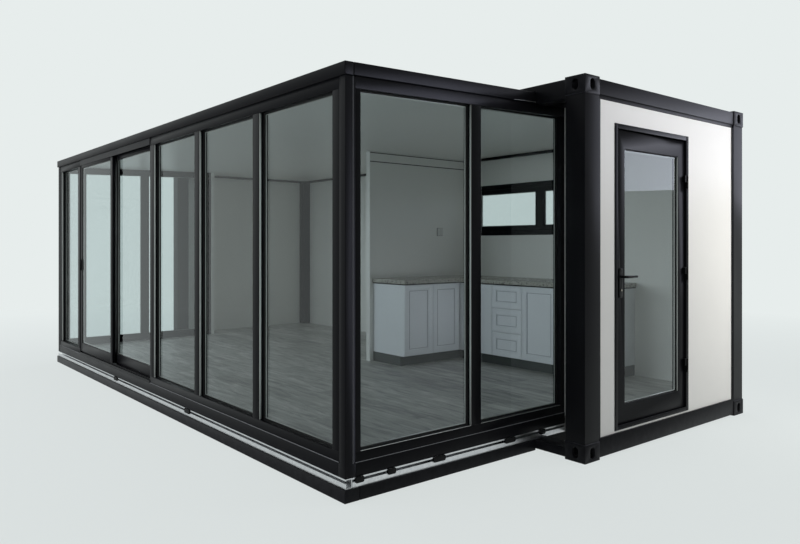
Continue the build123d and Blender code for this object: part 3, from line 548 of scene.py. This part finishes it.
# Edge radii in millimetres of the bars, rails and castings, as rolled, cast or extruded
edge_radii = {
    "corner_castings": 6,
    "corner_posts": 5,
    "core_bottom_rails": 4,
    "core_top_rails": 3,
    "wing_base_beams": 4,
    "wing_sill_beams": 3,
    "wing_corner_posts": 4,
    "wing_roof_beams": 4,
    "wing_track_blocks": 8,
    "window_bottom_rails": 1.5,
    "window_head_rails": 1.5,
    "window_stiles": 1.5,
    "window_mullions": 2,
    "outer_leaf_stiles": 2,
    "outer_leaf_rails": 2,
    "inner_leaf_stiles": 2,
    "inner_leaf_rails": 2,
    "door_leaf": 2,
    "door_frame_jambs": 2,
    "door_frame_head_and_threshold": 2,
    "door_handle_plates": 2,
    "strip_window_frame": 2,
    "kitchen_fronts": 1.5,
    "kitchen_worktop": 3,
    "outer_leaf_pull": 1.2,
}
for node, radius in edge_radii.items():
    rounded(node, radius)


def solids_of(node):
    """The corner points of each separate solid of a CAD piece, in order of their lowest corners."""
    work = cad_copy(node)
    found, left = [], set(work.verts)
    while left:
        queue, group = [left.pop()], []
        while queue:
            corner = queue.pop()
            group.append(corner.co.copy())
            for edge in corner.link_edges:
                other = edge.other_vert(corner)
                if other in left:
                    left.remove(other)
                    queue.append(other)
        found.append(group)
    work.free()
    return sorted(found, key=lambda group: [round(v, 4) for v in min(group, key=lambda p: (p.x, p.y, p.z))])


def span(points):
    """Lowest and highest corner of some points."""
    return (
        Vector([min(p[i] for p in points) for i in range(3)]),
        Vector([max(p[i] for p in points) for i in range(3)]),
    )


def facing(points):
    """Span of an upright sheet, the axis through its thickness and the level axis along it."""
    low, high = span(points)
    through = 0 if high.x - low.x < high.y - low.y else 1
    return low, high, through, 1 - through


def upright(through, depth, along, level):
    """A point of an upright sheet, from its depth, its place along the sheet and its level."""
    return Vector((depth, along, level) if through == 0 else (along, depth, level))


def pane_outlines(node, inset):
    """For each pane of a glass piece, its sight outline at its two faces and its middle."""
    found = []
    edge = GLASS_BITE + inset
    for points in solids_of(node):
        low, high, through, along = facing(points)
        ends = (low[along], high[along])
        tops = [max(p.z for p in points if abs(p[along] - end) < ON_LINE) for end in ends]
        rise = (tops[1] - tops[0]) / (ends[1] - ends[0])
        corners = [
            (ends[0] + edge, low.z + edge),
            (ends[1] - edge, low.z + edge),
            (ends[1] - edge, tops[1] - edge - rise * edge),
            (ends[0] + edge, tops[0] - edge + rise * edge),
        ]
        depths = {
            "low": low[through],
            "middle": (low[through] + high[through]) / 2,
            "high": high[through],
        }
        found.append(
            {key: [upright(through, depth, a, z) for a, z in corners] for key, depth in depths.items()}
        )
    return found


def bead_tree():
    """Geometry nodes: a round bead of one radius along every outline, with a ripple for welds."""
    tree = bpy.data.node_groups.new("bead_along_an_outline", "GeometryNodeTree")
    sockets = (("Outline", "Geometry"), ("Radius", "Float"), ("Ripple", "Float"), ("Finish", "Material"))
    for name, kind in sockets:
        tree.interface.new_socket(name, in_out="INPUT", socket_type="NodeSocket" + kind)
    tree.interface.new_socket("Bead", in_out="OUTPUT", socket_type="NodeSocketGeometry")
    given = add(tree, "NodeGroupInput")
    path = add(tree, "GeometryNodeMeshToCurve", {"Mesh": given.outputs["Outline"]})
    ring = add(tree, "GeometryNodeCurvePrimitiveCircle", {"Resolution": 8, "Radius": given.outputs["Radius"]})
    sweep = add(
        tree,
        "GeometryNodeCurveToMesh",
        {"Curve": path.outputs["Curve"], "Profile Curve": ring.outputs["Curve"], "Fill Caps": True},
    )
    # Ripples 6 mm long, in and out of the bead's skin
    where = add(tree, "GeometryNodeInputPosition")
    wave = add(
        tree,
        "ShaderNodeTexNoise",
        {"Vector": where.outputs["Position"], "Scale": 1 / 0.006, "Detail": 1.0},
    )
    middle = add(tree, "ShaderNodeMath", {0: wave.outputs["Fac"], 1: 0.5}, operation="SUBTRACT")
    lift = add(
        tree,
        "ShaderNodeMath",
        {0: middle.outputs["Value"], 1: given.outputs["Ripple"]},
        operation="MULTIPLY",
    )
    out = add(tree, "GeometryNodeInputNormal")
    push = add(
        tree,
        "ShaderNodeVectorMath",
        {0: out.outputs["Normal"], "Scale": lift.outputs["Value"]},
        operation="SCALE",
    )
    moved = add(
        tree,
        "GeometryNodeSetPosition",
        {"Geometry": sweep.outputs["Mesh"], "Offset": push.outputs["Vector"]},
    )
    real = add(tree, "GeometryNodeRealizeInstances", {"Geometry": moved.outputs["Geometry"]})
    paint = add(
        tree,
        "GeometryNodeSetMaterial",
        {"Geometry": real.outputs["Geometry"], "Material": given.outputs["Finish"]},
    )
    add(tree, "NodeGroupOutput", {"Bead": paint.outputs["Geometry"]})
    return tree


beads = bead_tree()


def bead(name, outlines, radius_mm, finish, body, ripple_mm=0.0, closed=True):
    """One piece with a round bead along each outline, closed or open, kept as a plain mesh."""
    points, lines = [], []
    for outline in outlines:
        first, count = len(points), len(outline)
        points += outline
        lines += [(first + i, first + (i + 1) % count) for i in range(count if closed else count - 1)]
    start = bpy.data.meshes.new(name + "_start")
    start.from_pydata([tuple(p) for p in points], lines, [])
    source = bpy.data.objects.new(name + "_source", start)
    bpy.context.collection.objects.link(source)
    modifier = source.modifiers.new("shape", "NODES")
    modifier.node_group = beads
    values = {"Radius": radius_mm * MM, "Ripple": ripple_mm * MM, "Finish": finish}
    for item in beads.interface.items_tree:
        if item.in_out == "INPUT" and item.name in values:
            modifier[item.identifier] = values[item.name]
    depsgraph = bpy.context.evaluated_depsgraph_get()
    mesh = bpy.data.meshes.new_from_object(source.evaluated_get(depsgraph), depsgraph=depsgraph)
    bpy.data.objects.remove(source)
    mesh.name = name
    placed(name, mesh, body)


# Glazing: a rubber gasket on both faces of each pane and a bright spacer bar inside it
gasket_inset, gasket_radius = 2 * MM, 5.5
spacer_inset, spacer_radius = 9 * MM, 4.5
glazing = {
    "house": ("front_glass", "end_glass", "strip_window_glass"),
    "entrance_door": ("door_glass",),
    "outer_leaf": ("outer_leaf_glass",),
    "inner_leaf": ("inner_leaf_glass",),
}
for body, nodes in glazing.items():
    gaskets, spacers = [], []
    for node in nodes:
        # The strip window's panes end at their sight lines
        less = GLASS_BITE if node == "strip_window_glass" else 0.0
        for planes in pane_outlines(node, gasket_inset - less):
            gaskets += [planes["low"], planes["high"]]
        for planes in pane_outlines(node, spacer_inset - less):
            spacers.append(planes["middle"])
    bead(body + "_gaskets", gaskets, gasket_radius, rubber_and_painted_shadow, body)
    bead(body + "_spacer_bars", spacers, spacer_radius, aluminium_and_highlight, body)


def close_rings(work, rings):
    """Adds a solid to a worked mesh: a row of rings of points, joined, with a face at each end."""
    rings = [[work.verts.new(point) for point in ring] for ring in rings]
    work.faces.new(rings[0])
    work.faces.new(rings[-1])
    for first, second in zip(rings, rings[1:]):
        for i in range(len(first)):
            j = (i + 1) % len(first)
            work.faces.new((first[i], first[j], second[j], second[i]))


def bar(work, outline, start, end, along):
    """Adds a bar of one closed outline to a worked mesh, along an axis from a start to an end."""
    rings = [[[*corner[:along], place, *corner[along:]] for corner in outline] for place in (start, end)]
    close_rings(work, rings)


def outward(work):
    """Turns every face of a worked mesh to look out of its solid."""
    bmesh.ops.recalc_face_normals(work, faces=work.faces)


def reveal_highlight_trims(name, nodes, deep, nose, body):
    """Bright trims on the upright reveals of some panes, painted highlights of the reveals' edges, from a
    depth to a rounded nose, in millimetres.
    """
    profile = ((deep, 0), (deep, 1.6), (nose - 2.6, 1.6), (nose - 0.6, 1.1), (nose, 0.4), (nose, 0))
    short = 2 * MM
    work = bmesh.new()
    for node in nodes:
        for points in solids_of(node):
            low, high, through, along = facing(points)
            side = 1 if through == 0 and low.x > 0 else -1
            face = high[through] if side > 0 else low[through]
            for edge, turn in ((low[along] + GLASS_BITE, 1), (high[along] - GLASS_BITE, -1)):
                # The end panes' rear reveals lie hidden beside the core
                if node == "end_glass" and edge > -GLASS_BITE:
                    continue
                top = max(p.z for p in points if abs(p[along] - edge) < 2 * GLASS_BITE) - GLASS_BITE
                outline = [(face + side * out * MM, edge + turn * rise * MM) for out, rise in profile]
                if through == 1:
                    outline = [(across, depth) for depth, across in outline]
                bar(work, outline, low.z + GLASS_BITE + short, top - short, 2)
    outward(work)
    mesh_piece(name, work, aluminium_and_highlight, body)


# Bright strips on the reveals: painted highlights of the reveals' edges
reveal_highlight_trims("pane_reveal_highlight_trims", ("front_glass", "end_glass"), 24, 36.6, "house")
reveal_highlight_trims("door_reveal_highlight_trims", ("door_glass",), 6.5, 13, "entrance_door")

# Bright bead along the foot of each end pane, at the outer edge of the bottom rail: a painted highlight of
# that edge
foot_out, foot_short, foot_rise = 36 * MM, 14 * MM, 0.8 * MM
feet = []
for points in solids_of("end_glass"):
    low, high = span(points)
    foot_x = high.x + foot_out if low.x > 0 else low.x - foot_out
    foot_z = low.z + GLASS_BITE + foot_rise
    feet.append([Vector((foot_x, y, foot_z)) for y in (low.y + foot_short, high.y - foot_short)])
bead("end_pane_foot_highlight_beads", feet, 1.8, aluminium_and_highlight, "house", closed=False)

# Folded plates that close the base behind the core's front rail, under the track's ends
plate_front, plate_rear = -158 * MM, 90 * MM
plate_fold = ((4, 70), (8, 70), (8, 6), (40, 6), (40, 2), (4, 2))
channel_low, channel_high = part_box("wing_track_channels")
work = bmesh.new()
for outer_x, way in ((channel_low[0], 1), (channel_high[0], -1)):
    outline = [(outer_x + way * inward * MM, level * MM) for inward, level in plate_fold]
    bar(work, outline, plate_front, plate_rear, 1)
outward(work)
mesh_piece("base_closing_plates", work, black_steel, "house")

# Bright strips on the foot of the raked roof beams, where they run in beside the core: a painted highlight
# there
strip_faces = (-0.5, 1.2)
strip_outline = ((-520, 1), (-300, 1), (-300, 9), (-520, 3))
work = bmesh.new()
for points in solids_of("wing_roof_beams"):
    low, high, through, _ = facing(points)
    if through == 0:
        rear_foot = min(p.z for p in points if p.y > high.y - ON_LINE)
        rake = (rear_foot - low.z) / (high.y - low.y)
        outer_x, way = (high.x, 1) if low.x > 0 else (low.x, -1)
        rings = []
        for depth in strip_faces:
            ring = []
            for y, rise in strip_outline:
                foot = low.z + (y * MM - low.y) * rake
                ring.append((outer_x + way * depth * MM, y * MM, foot + rise * MM))
            rings.append(ring)
        close_rings(work, rings)
outward(work)
mesh_piece("roof_beam_highlight_strips", work, aluminium_and_highlight, "house")

# Low rolled seams between the roof sheets, one a panel's width, sunk so that a 7 mm crown shows
seam_radius, seam_sunk, seam_short = 14, 6.6 * MM, 4 * MM
sheet_width = 1.15
seams = []
for node in ("core_roof", "wing_roof_panel"):
    points = [p for group in solids_of(node) for p in group]
    low, high = span(points)
    crest = [max(p.z for p in points if abs(p.y - y) < ON_LINE) - seam_sunk for y in (low.y, high.y)]
    count = round((high.x - low.x) / sheet_width)
    for number in range(1, count):
        x = low.x + (high.x - low.x) * number / count
        seams.append([Vector((x, low.y + seam_short, crest[0])), Vector((x, high.y - seam_short, crest[1]))])
bead("roof_sheet_seams", seams, seam_radius, white_panel, "house", closed=False)

# Grey sealant on the sill's ledge under the window bars and in the corner posts' rebates, partly sealant and
# partly a painted highlight of these joints
ledge_gap, rebate_gap, rebate_depth = 1.2 * MM, 2.6 * MM, 52.4 * MM
posts = sorted((span(points) for points in solids_of("wing_corner_posts")), key=lambda post: post[0].x)
rail_low, rail_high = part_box("window_bottom_rails")
track_low, track_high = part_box("sliding_door_tracks")
ledge_y, ledge_z = rail_low[1] - ledge_gap, rail_low[2] + ledge_gap
ledges = []
for start, end in ((posts[0][1].x, track_low[0]), (track_high[0], posts[1][0].x)):
    ledges.append([Vector((start, ledge_y, ledge_z)), Vector((end, ledge_y, ledge_z))])
for (low, high), ledge_x, rebate_x in (
    (posts[0], rail_low[0] - ledge_gap, posts[0][0].x + rebate_gap),
    (posts[1], rail_high[0] + ledge_gap, posts[1][1].x - rebate_gap),
):
    rebate_y = low.y + rebate_depth
    ledges.append([Vector((ledge_x, high.y, ledge_z)), Vector((ledge_x, rail_high[1], ledge_z))])
    ledges.append([Vector((rebate_x, rebate_y, rail_low[2])), Vector((rebate_x, rebate_y, high.z))])
bead("sill_and_post_highlight_sealant", ledges, 2.2, sealant_and_highlight_grey, "house", closed=False)

# Weld beads where the core's posts meet their castings, along the two outer faces of each, grey as a painted
# highlight along the castings' tops
weld_inset, weld_gap, weld_steps = 4 * MM, 1.5 * MM, 30
core_middle = Vector((0.0, 0.8, 1.0))
welds = []
for points in solids_of("corner_castings"):
    low, high = span(points)
    middle = (low + high) / 2
    step_x = weld_inset if middle.x > core_middle.x else -weld_inset
    step_y = weld_inset if middle.y > core_middle.y else -weld_inset
    out_x, in_x = (high.x, low.x) if step_x > 0 else (low.x, high.x)
    out_y, in_y = (high.y, low.y) if step_y > 0 else (low.y, high.y)
    level = high.z + weld_gap if middle.z < core_middle.z else low.z - weld_gap
    turn_x, turn_y = out_x - step_x, out_y - step_y
    steps = range(weld_steps + 1)
    path = [Vector((in_x + (turn_x - in_x) * i / weld_steps, turn_y, level)) for i in steps[:-1]]
    path += [Vector((turn_x, turn_y + (in_y - turn_y) * i / weld_steps, level)) for i in steps]
    welds.append(path)
bead("casting_welds", welds, 3.0, weld_paint_and_highlight, "house", ripple_mm=2.4, closed=False)

# Rubber seal on the door frame's stop, all round, clear of the leaf
seal_gap, seal_inset = 3.4 * MM, 4 * MM
leaf_low, leaf_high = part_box("door_leaf")
stop_x = leaf_low[0] - seal_gap
seal_y = (leaf_low[1] + seal_inset, leaf_high[1] - seal_inset)
seal_z = (leaf_low[2] + seal_inset, leaf_high[2] - seal_inset)
seal = [Vector((stop_x, seal_y[i], seal_z[j])) for i, j in LOOP]
bead("door_frame_seal", [seal], 2.4, rubber_and_painted_shadow, "house")


def moulded(work, middle, across, up, width, height, corner, steps):
    """Adds a plate with a rounded outline that rises by steps of (rise, inset), all in millimetres."""
    out = across.cross(up)
    rings = []
    for rise, inset in steps:
        radius = max(corner - inset, 0.2)
        reach_a = width / 2 - inset - radius
        reach_b = height / 2 - inset - radius
        ring = []
        for quarter, (sign_a, sign_b) in enumerate(((1, 1), (-1, 1), (-1, -1), (1, -1))):
            for degrees in range(0, 91, 18):
                angle = math.radians(90 * quarter + degrees)
                a = sign_a * reach_a + radius * math.cos(angle)
                b = sign_b * reach_b + radius * math.sin(angle)
                ring.append(middle + (across * a + up * b + out * rise) * MM)
        rings.append(ring)
    close_rings(work, rings)


# White double switch on the kitchen partition, its two rockers and a dark bead round its plate, standing as
# the plate's painted shadow
switch_y, switch_z = 1.4, 1.566
switch_size, rocker_shift, shadow_bead_rise = 86, 19, 2
partition_low, partition_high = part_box("kitchen_partition")
switch_place = Vector((partition_high[0], switch_y, switch_z))
work = bmesh.new()
moulded(work, switch_place, Y, Z, switch_size, switch_size, 6, ((0, 0), (6, 0), (8, 0.8), (9, 2.4)))
for shift in (-rocker_shift, rocker_shift):
    moulded(work, switch_place + Y * shift * MM, Y, Z, 34, 62, 2, ((8.6, 0), (11, 0.3), (12, 1.6)))
outward(work)
mesh_piece("double_switch", work, switch_white, "house")
reach = (-switch_size / 2, switch_size / 2)
switch_shadow_outline = [switch_place + (X * shadow_bead_rise + Y * reach[i] + Z * reach[j]) * MM for i, j in LOOP]
bead("switch_shadow_bead", [switch_shadow_outline], 3.5, rubber_and_painted_shadow, "house")

# Thin grey beads round the sunk panels of the cabinet fronts, painted shade in the panels' corners
bead_inset, face_depth = 7 * MM, 2 * MM
panel_beads = []
for points in solids_of("kitchen_fronts"):
    low, high, through, along = facing(points)
    sunk = [p for p in points if low[through] + face_depth < p[through] < high[through] - face_depth]
    if sunk:
        field_low, field_high = span(sunk)
        sides = (field_low[along] + bead_inset, field_high[along] - bead_inset)
        levels = (field_low.z + bead_inset, field_high.z - bead_inset)
        panel_beads.append([upright(through, field_low[through], sides[i], levels[j]) for i, j in LOOP])
bead("cabinet_panel_shade_beads", panel_beads, 3.0, groove_shade_lacquer, "house")

# Dark strip under the worktop's overhang, a painted shadow, round the end, the side run and the back run of
# the L
shadow_strip_radius = 6
strip_out = shadow_strip_radius * MM
fronts = [span(points) for points in solids_of("kitchen_fronts")]
side_face, back_face = fronts[0][1].x + strip_out, fronts[-1][0].y - strip_out
carcass_low, carcass_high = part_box("kitchen_carcasses")
strip_z = carcass_high[2] - strip_out
end_y, end_x = carcass_low[1] - strip_out, carcass_high[0] + strip_out
turns = (
    (carcass_low[0], end_y),
    (side_face, end_y),
    (side_face, back_face),
    (end_x, back_face),
    (end_x, carcass_high[1]),
)
strip = [Vector((x, y, strip_z)) for x, y in turns]
bead("worktop_shadow_strip", [strip], shadow_strip_radius, rubber_and_painted_shadow, "house", closed=False)

# Dark trims along the top of the partition
trim_levels, trim_out, trim_short = (2.308, 2.402), 1 * MM, 6 * MM
trim_x = partition_high[0] + trim_out
trim_ends = (partition_low[1] + trim_short, partition_high[1] - trim_short)
trims = [[Vector((trim_x, y, level)) for y in trim_ends] for level in trim_levels]
bead("partition_top_trims", trims, 5.0, rubber_and_painted_shadow, "house", closed=False)

# Latch on the strip window's meeting stile, inside: a plate and its thumb turn
latch_shift, latch_depth, latch_z = 40 * MM, 14 * MM, 1.86
window_low, window_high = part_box("strip_window_frame")
latch_x = (window_low[0] + window_high[0]) / 2 + latch_shift
latch_place = Vector((latch_x, window_low[1] + latch_depth, latch_z))
thumb_place = latch_place + (Z * 12 + X * 8) * MM
work = bmesh.new()
moulded(work, latch_place, X, Z, 24, 96, 8, ((0, 0), (5, 0), (6.5, 0.7), (7, 2.2)))
moulded(work, thumb_place, X, Z, 15, 58, 7, ((6, 0.6), (12, 0), (16, 0.6), (17, 2.6)))
outward(work)
mesh_piece("strip_window_latch", work, black_fittings, "house")

# The entrance door's handle plates: the span of each, its outer face and the way that it looks
plates = []
for points in solids_of("door_handle_plates"):
    low, high = span(points)
    way = 1 if low.x > (leaf_low[0] + leaf_high[0]) / 2 else -1
    plates.append((low, high, high.x if way > 0 else low.x, way))
# Half the thickness of the lever's round neck, in millimetres
neck_half = 9.0
lever_low, lever_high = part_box("door_lever")
handle_y = lever_low[1] + neck_half * MM
handle_z = (lever_low[2] + lever_high[2]) / 2

# Key plugs in two halves beside their slot, 92 mm under the lever, and a screw near each plate's ends
plug_radius, plug_drop, plug_faces = 6.6, 92, (-1, 0.9)
screw_sunk, screw_inset = 5 * MM, 10 * MM
plugs, screws = bmesh.new(), bmesh.new()
for low, high, face_x, way in plates:
    for half in (-1, 1):
        rings = []
        for rise in plug_faces:
            ring = []
            for degrees in range(6, 175, 12):
                a = plug_radius * math.cos(math.radians(degrees))
                b = half * plug_radius * math.sin(math.radians(degrees))
                ring.append((face_x + way * rise * MM, handle_y + a * MM, handle_z - (plug_drop - b) * MM))
            rings.append(ring)
        close_rings(plugs, rings)
    for level in (low.z + screw_inset, high.z - screw_inset):
        screw_place = Vector((face_x - way * screw_sunk, handle_y, level))
        moulded(screws, screw_place, Y * way, Z, 9, 9, 4.5, ((-1, 0), (0.8, 0), (1.8, 1.2), (2.2, 2.8)))
outward(plugs)
outward(screws)
mesh_piece("key_plugs", plugs, satin_nickel, "entrance_door")
mesh_piece("handle_plate_screws", screws, black_fittings, "entrance_door")


def lever_sections(neck_x, way):
    """Places, turns, half sizes in millimetres and squareness along one lever: a neck, a bend and a grip."""
    neck_steps, bend_steps, grip_steps = 4, 8, 12
    grip_inset, tip_inset, bend = 6.5 * MM, 0.5 * MM, 16 * MM
    grip_x = lever_high[0] - grip_inset if way > 0 else lever_low[0] + grip_inset
    bend_x, bend_y = grip_x - way * bend, handle_y + bend
    tip = lever_high[1] - tip_inset
    found = []
    for i in range(neck_steps):
        x = neck_x + (bend_x - neck_x) * i / neck_steps
        found.append((x, handle_y, 0.0, neck_half, neck_half, 2.0))
    for i in range(bend_steps + 1):
        share = i / bend_steps
        angle = math.radians(90 * share)
        x = bend_x + way * bend * math.sin(angle)
        y = handle_y + bend * (1 - math.cos(angle))
        found.append((x, y, angle, neck_half - 2.6 * share, neck_half + 0.8 * share, 2.0 + 1.6 * share))
    for i in range(1, grip_steps + 1):
        share = i / grip_steps
        y = bend_y + (tip - bend_y) * share
        near_tip = max(0.0, (share - 0.9) / 0.1)
        close = math.sqrt(max(0.08, 1 - near_tip * near_tip * 0.92))
        half_a, half_b = (6.4 - 1.2 * share) * close, (9.8 - 2.2 * share) * close
        found.append((grip_x, y, math.radians(90), half_a, half_b, 3.6))
    return found


def eased(value, square):
    """A sine or cosine drawn towards a square's side, for a rounded square section."""
    return math.copysign(abs(value) ** (2 / square), value)


# The lever, one grip on each side of the door, in place of the plain CAD one
lever_points, neck_sunk = 28, 9 * MM
work = bmesh.new()
for *_, face_x, way in plates:
    rings = []
    for x, y, angle, half_a, half_b, square in lever_sections(face_x - way * neck_sunk, way):
        side_x, side_y = -way * math.sin(angle), math.cos(angle)
        ring = []
        for i in range(lever_points):
            turn = 2 * math.pi * i / lever_points
            a = half_a * eased(math.cos(turn), square) * MM
            b = half_b * eased(math.sin(turn), square) * MM
            ring.append((x + side_x * a, y + side_y * a, handle_z + b))
        rings.append(ring)
    close_rings(work, rings)
outward(work)
for face in work.faces:
    face.smooth = len(face.verts) == 4
lever = mesh_piece("door_lever_shaped", work, black_fittings, "lever")
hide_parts("door_lever")

# Collars round the lever's neck on both handle plates
collar_reach, collar_sunk, collar_points = 12 * MM, 4 * MM, 24
turns = [2 * math.pi * i / collar_points for i in range(collar_points)]
collars = []
for *_, face_x, way in plates:
    middle = Vector((face_x - way * collar_sunk, handle_y, handle_z))
    collars.append([middle + (Y * math.cos(turn) + Z * math.sin(turn)) * collar_reach for turn in turns])
bead("lever_collars", collars, 2.2, black_fittings, "entrance_door")

# Camera at the photograph's place: level, 31.7 mm on a 36 mm sensor
look_x, look_y = -0.7727, 0.6347
lens = bpy.data.cameras.new("camera")
lens.sensor_width = 36
lens.lens = 31.69
lens.shift_y = -0.0344
lens.clip_end = 200
camera = bpy.data.objects.new("camera", lens)
bpy.context.collection.objects.link(camera)
camera.location = (6.1885, -4.110, 1.422)
camera.rotation_euler = (math.radians(90), 0, math.atan2(-look_x, look_y))
bpy.context.scene.camera = camera


def background_rays(tree):
    """A share of 1 for the rays that show the background: to the eye, in gloss and through glass."""
    rays = add(tree, "ShaderNodeLightPath")
    seen = add(
        tree,
        "ShaderNodeMath",
        {0: rays.outputs["Is Camera Ray"], 1: rays.outputs["Is Glossy Ray"]},
        operation="MAXIMUM",
    )
    shown = add(
        tree,
        "ShaderNodeMath",
        {0: seen.outputs["Value"], 1: rays.outputs["Is Transmission Ray"]},
        operation="MAXIMUM",
    )
    return shown.outputs["Value"]


# Pale floor that fades into the backdrop's own colour, from 4.5 to 11 m away from the house's middle
backdrop = "#e7edec"
floor_material, tree = blank_material("pale_studio_floor")
place = add(tree, "ShaderNodeTexCoord").outputs["Object"]
away = add(tree, "ShaderNodeVectorMath", {0: place}, operation="LENGTH")
fade = add(
    tree,
    "ShaderNodeMapRange",
    {"Value": away.outputs["Value"], "From Min": 4.5, "From Max": 11.0, "To Min": 0.78},
)
share = add(
    tree,
    "ShaderNodeMath",
    {0: fade.outputs["Result"], 1: background_rays(tree)},
    operation="MULTIPLY",
)
matt = add(tree, "ShaderNodeBsdfDiffuse", {"Color": srgb("#d5dbda")})
glow = add(tree, "ShaderNodeEmission", {"Color": srgb(backdrop), "Strength": 1.0})
blend = add(
    tree,
    "ShaderNodeMixShader",
    {0: share.outputs["Value"], 1: matt.outputs["BSDF"], 2: glow.outputs["Emission"]},
)
add(tree, "ShaderNodeOutputMaterial", {"Surface": blend.outputs["Shader"]})
floor_ends = (-60.0, 60.0)
floor_mesh = bpy.data.meshes.new("studio_floor")
floor_mesh.from_pydata([(floor_ends[i], floor_ends[j], 0) for i, j in LOOP], [], [(0, 1, 2, 3)])
floor_mesh.materials.append(floor_material)
studio_floor = bpy.data.objects.new("studio_floor", floor_mesh)
bpy.context.collection.objects.link(studio_floor)
studio_floor.location.z = -1 * MM

# World: the backdrop's colour to the eye, in gloss and through glass, and softer light elsewhere
world = bpy.data.worlds.new("studio")
bpy.context.scene.world = world
world.use_nodes = True
tree = world.node_tree
tree.nodes.clear()
ambient = add(tree, "ShaderNodeBackground", {"Color": srgb("#e9eef6"), "Strength": 0.3})
behind = add(tree, "ShaderNodeBackground", {"Color": srgb(backdrop), "Strength": 1.0})
sky = add(
    tree,
    "ShaderNodeMixShader",
    {0: background_rays(tree), 1: ambient.outputs["Background"], 2: behind.outputs["Background"]},
)
add(tree, "ShaderNodeOutputWorld", {"Surface": sky.outputs["Shader"]})


def soft_light(name, place, target, size, power, colour, mirrored=False, only=(), beam=180):
    """A soft box that faces a target, for matt surfaces or gloss alone, on every piece or on some only."""
    light = bpy.data.lights.new(name, "AREA")
    light.shape = "RECTANGLE"
    light.size, light.size_y = size
    light.energy = power
    light.spread = math.radians(beam)
    light.color = srgb(colour)[:3]
    item = bpy.data.objects.new(name, light)
    bpy.context.collection.objects.link(item)
    item.location = place
    item.rotation_euler = (Vector(target) - Vector(place)).to_track_quat("-Z", "Y").to_euler()
    item.visible_camera = False
    item.visible_diffuse = not mirrored
    item.visible_glossy = mirrored
    if only:
        lit = bpy.data.collections.new(name + "_pieces")
        for piece in only:
            lit.objects.link(bpy.data.objects[piece])
        item.light_linking.receiver_collection = lit


warm, cool = "#fffdfa", "#f6f8ff"
# The door wall: light on its panels, and a card that its bars and panes mirror
soft_light("key", (4.9, 2.3, 1.65), (3.43, 1.3, 1.5), (1.4, 1.6), 26, warm)
soft_light("gloss_card", (4.62, 3.55, 3.26), (3.32, 1.15, 1.96), (3.4, 2.6), 92, "#e9ebff", mirrored=True)
# The card for the wing's raked end bars leaves the panes beside them clear
end_bars = (
    "wing_roof_beams_rounded",
    "wing_corner_posts_rounded",
    "window_head_rails_rounded",
    "roof_beam_highlight_strips",
)
soft_light(
    "end_card", (6.0, 2.1, 1.65), (2.97, 2.1, 1.65), (3.8, 3.2), 345, "#e2e5ff", mirrored=True, only=end_bars
)
# The panels over the door
soft_light("brow", (4.6, 0.2, 3.3), (3.43, 0.4, 2.2), (1.2, 0.5), 6, warm)
# A narrow light inside, on the fronts of the cabinets' side run
soft_light("counter", (3.0, 0.8, 0.95), (0.75, 0.7, 0.75), (0.6, 0.5), 0.7, "#f4f5ff", beam=60)
# The other sides and the roof
soft_light("fill", (-4.0, -11.0, 3.0), (-1.0, -1.9, 1.3), (9.0, 4.0), 520, cool)
soft_light("far", (-12.0, -1.0, 3.5), (-3.4, 0.0, 1.2), (5.0, 4.0), 230, cool)
soft_light("back", (-6.0, 8.0, 3.5), (-1.0, 1.9, 1.3), (6.0, 4.0), 300, cool)
soft_light("top", (0.0, 0.0, 9.0), (0.0, 0.0, 2.5), (7.0, 7.0), 250, "#ffffff")

bpy.context.scene.view_settings.view_transform = "Standard"
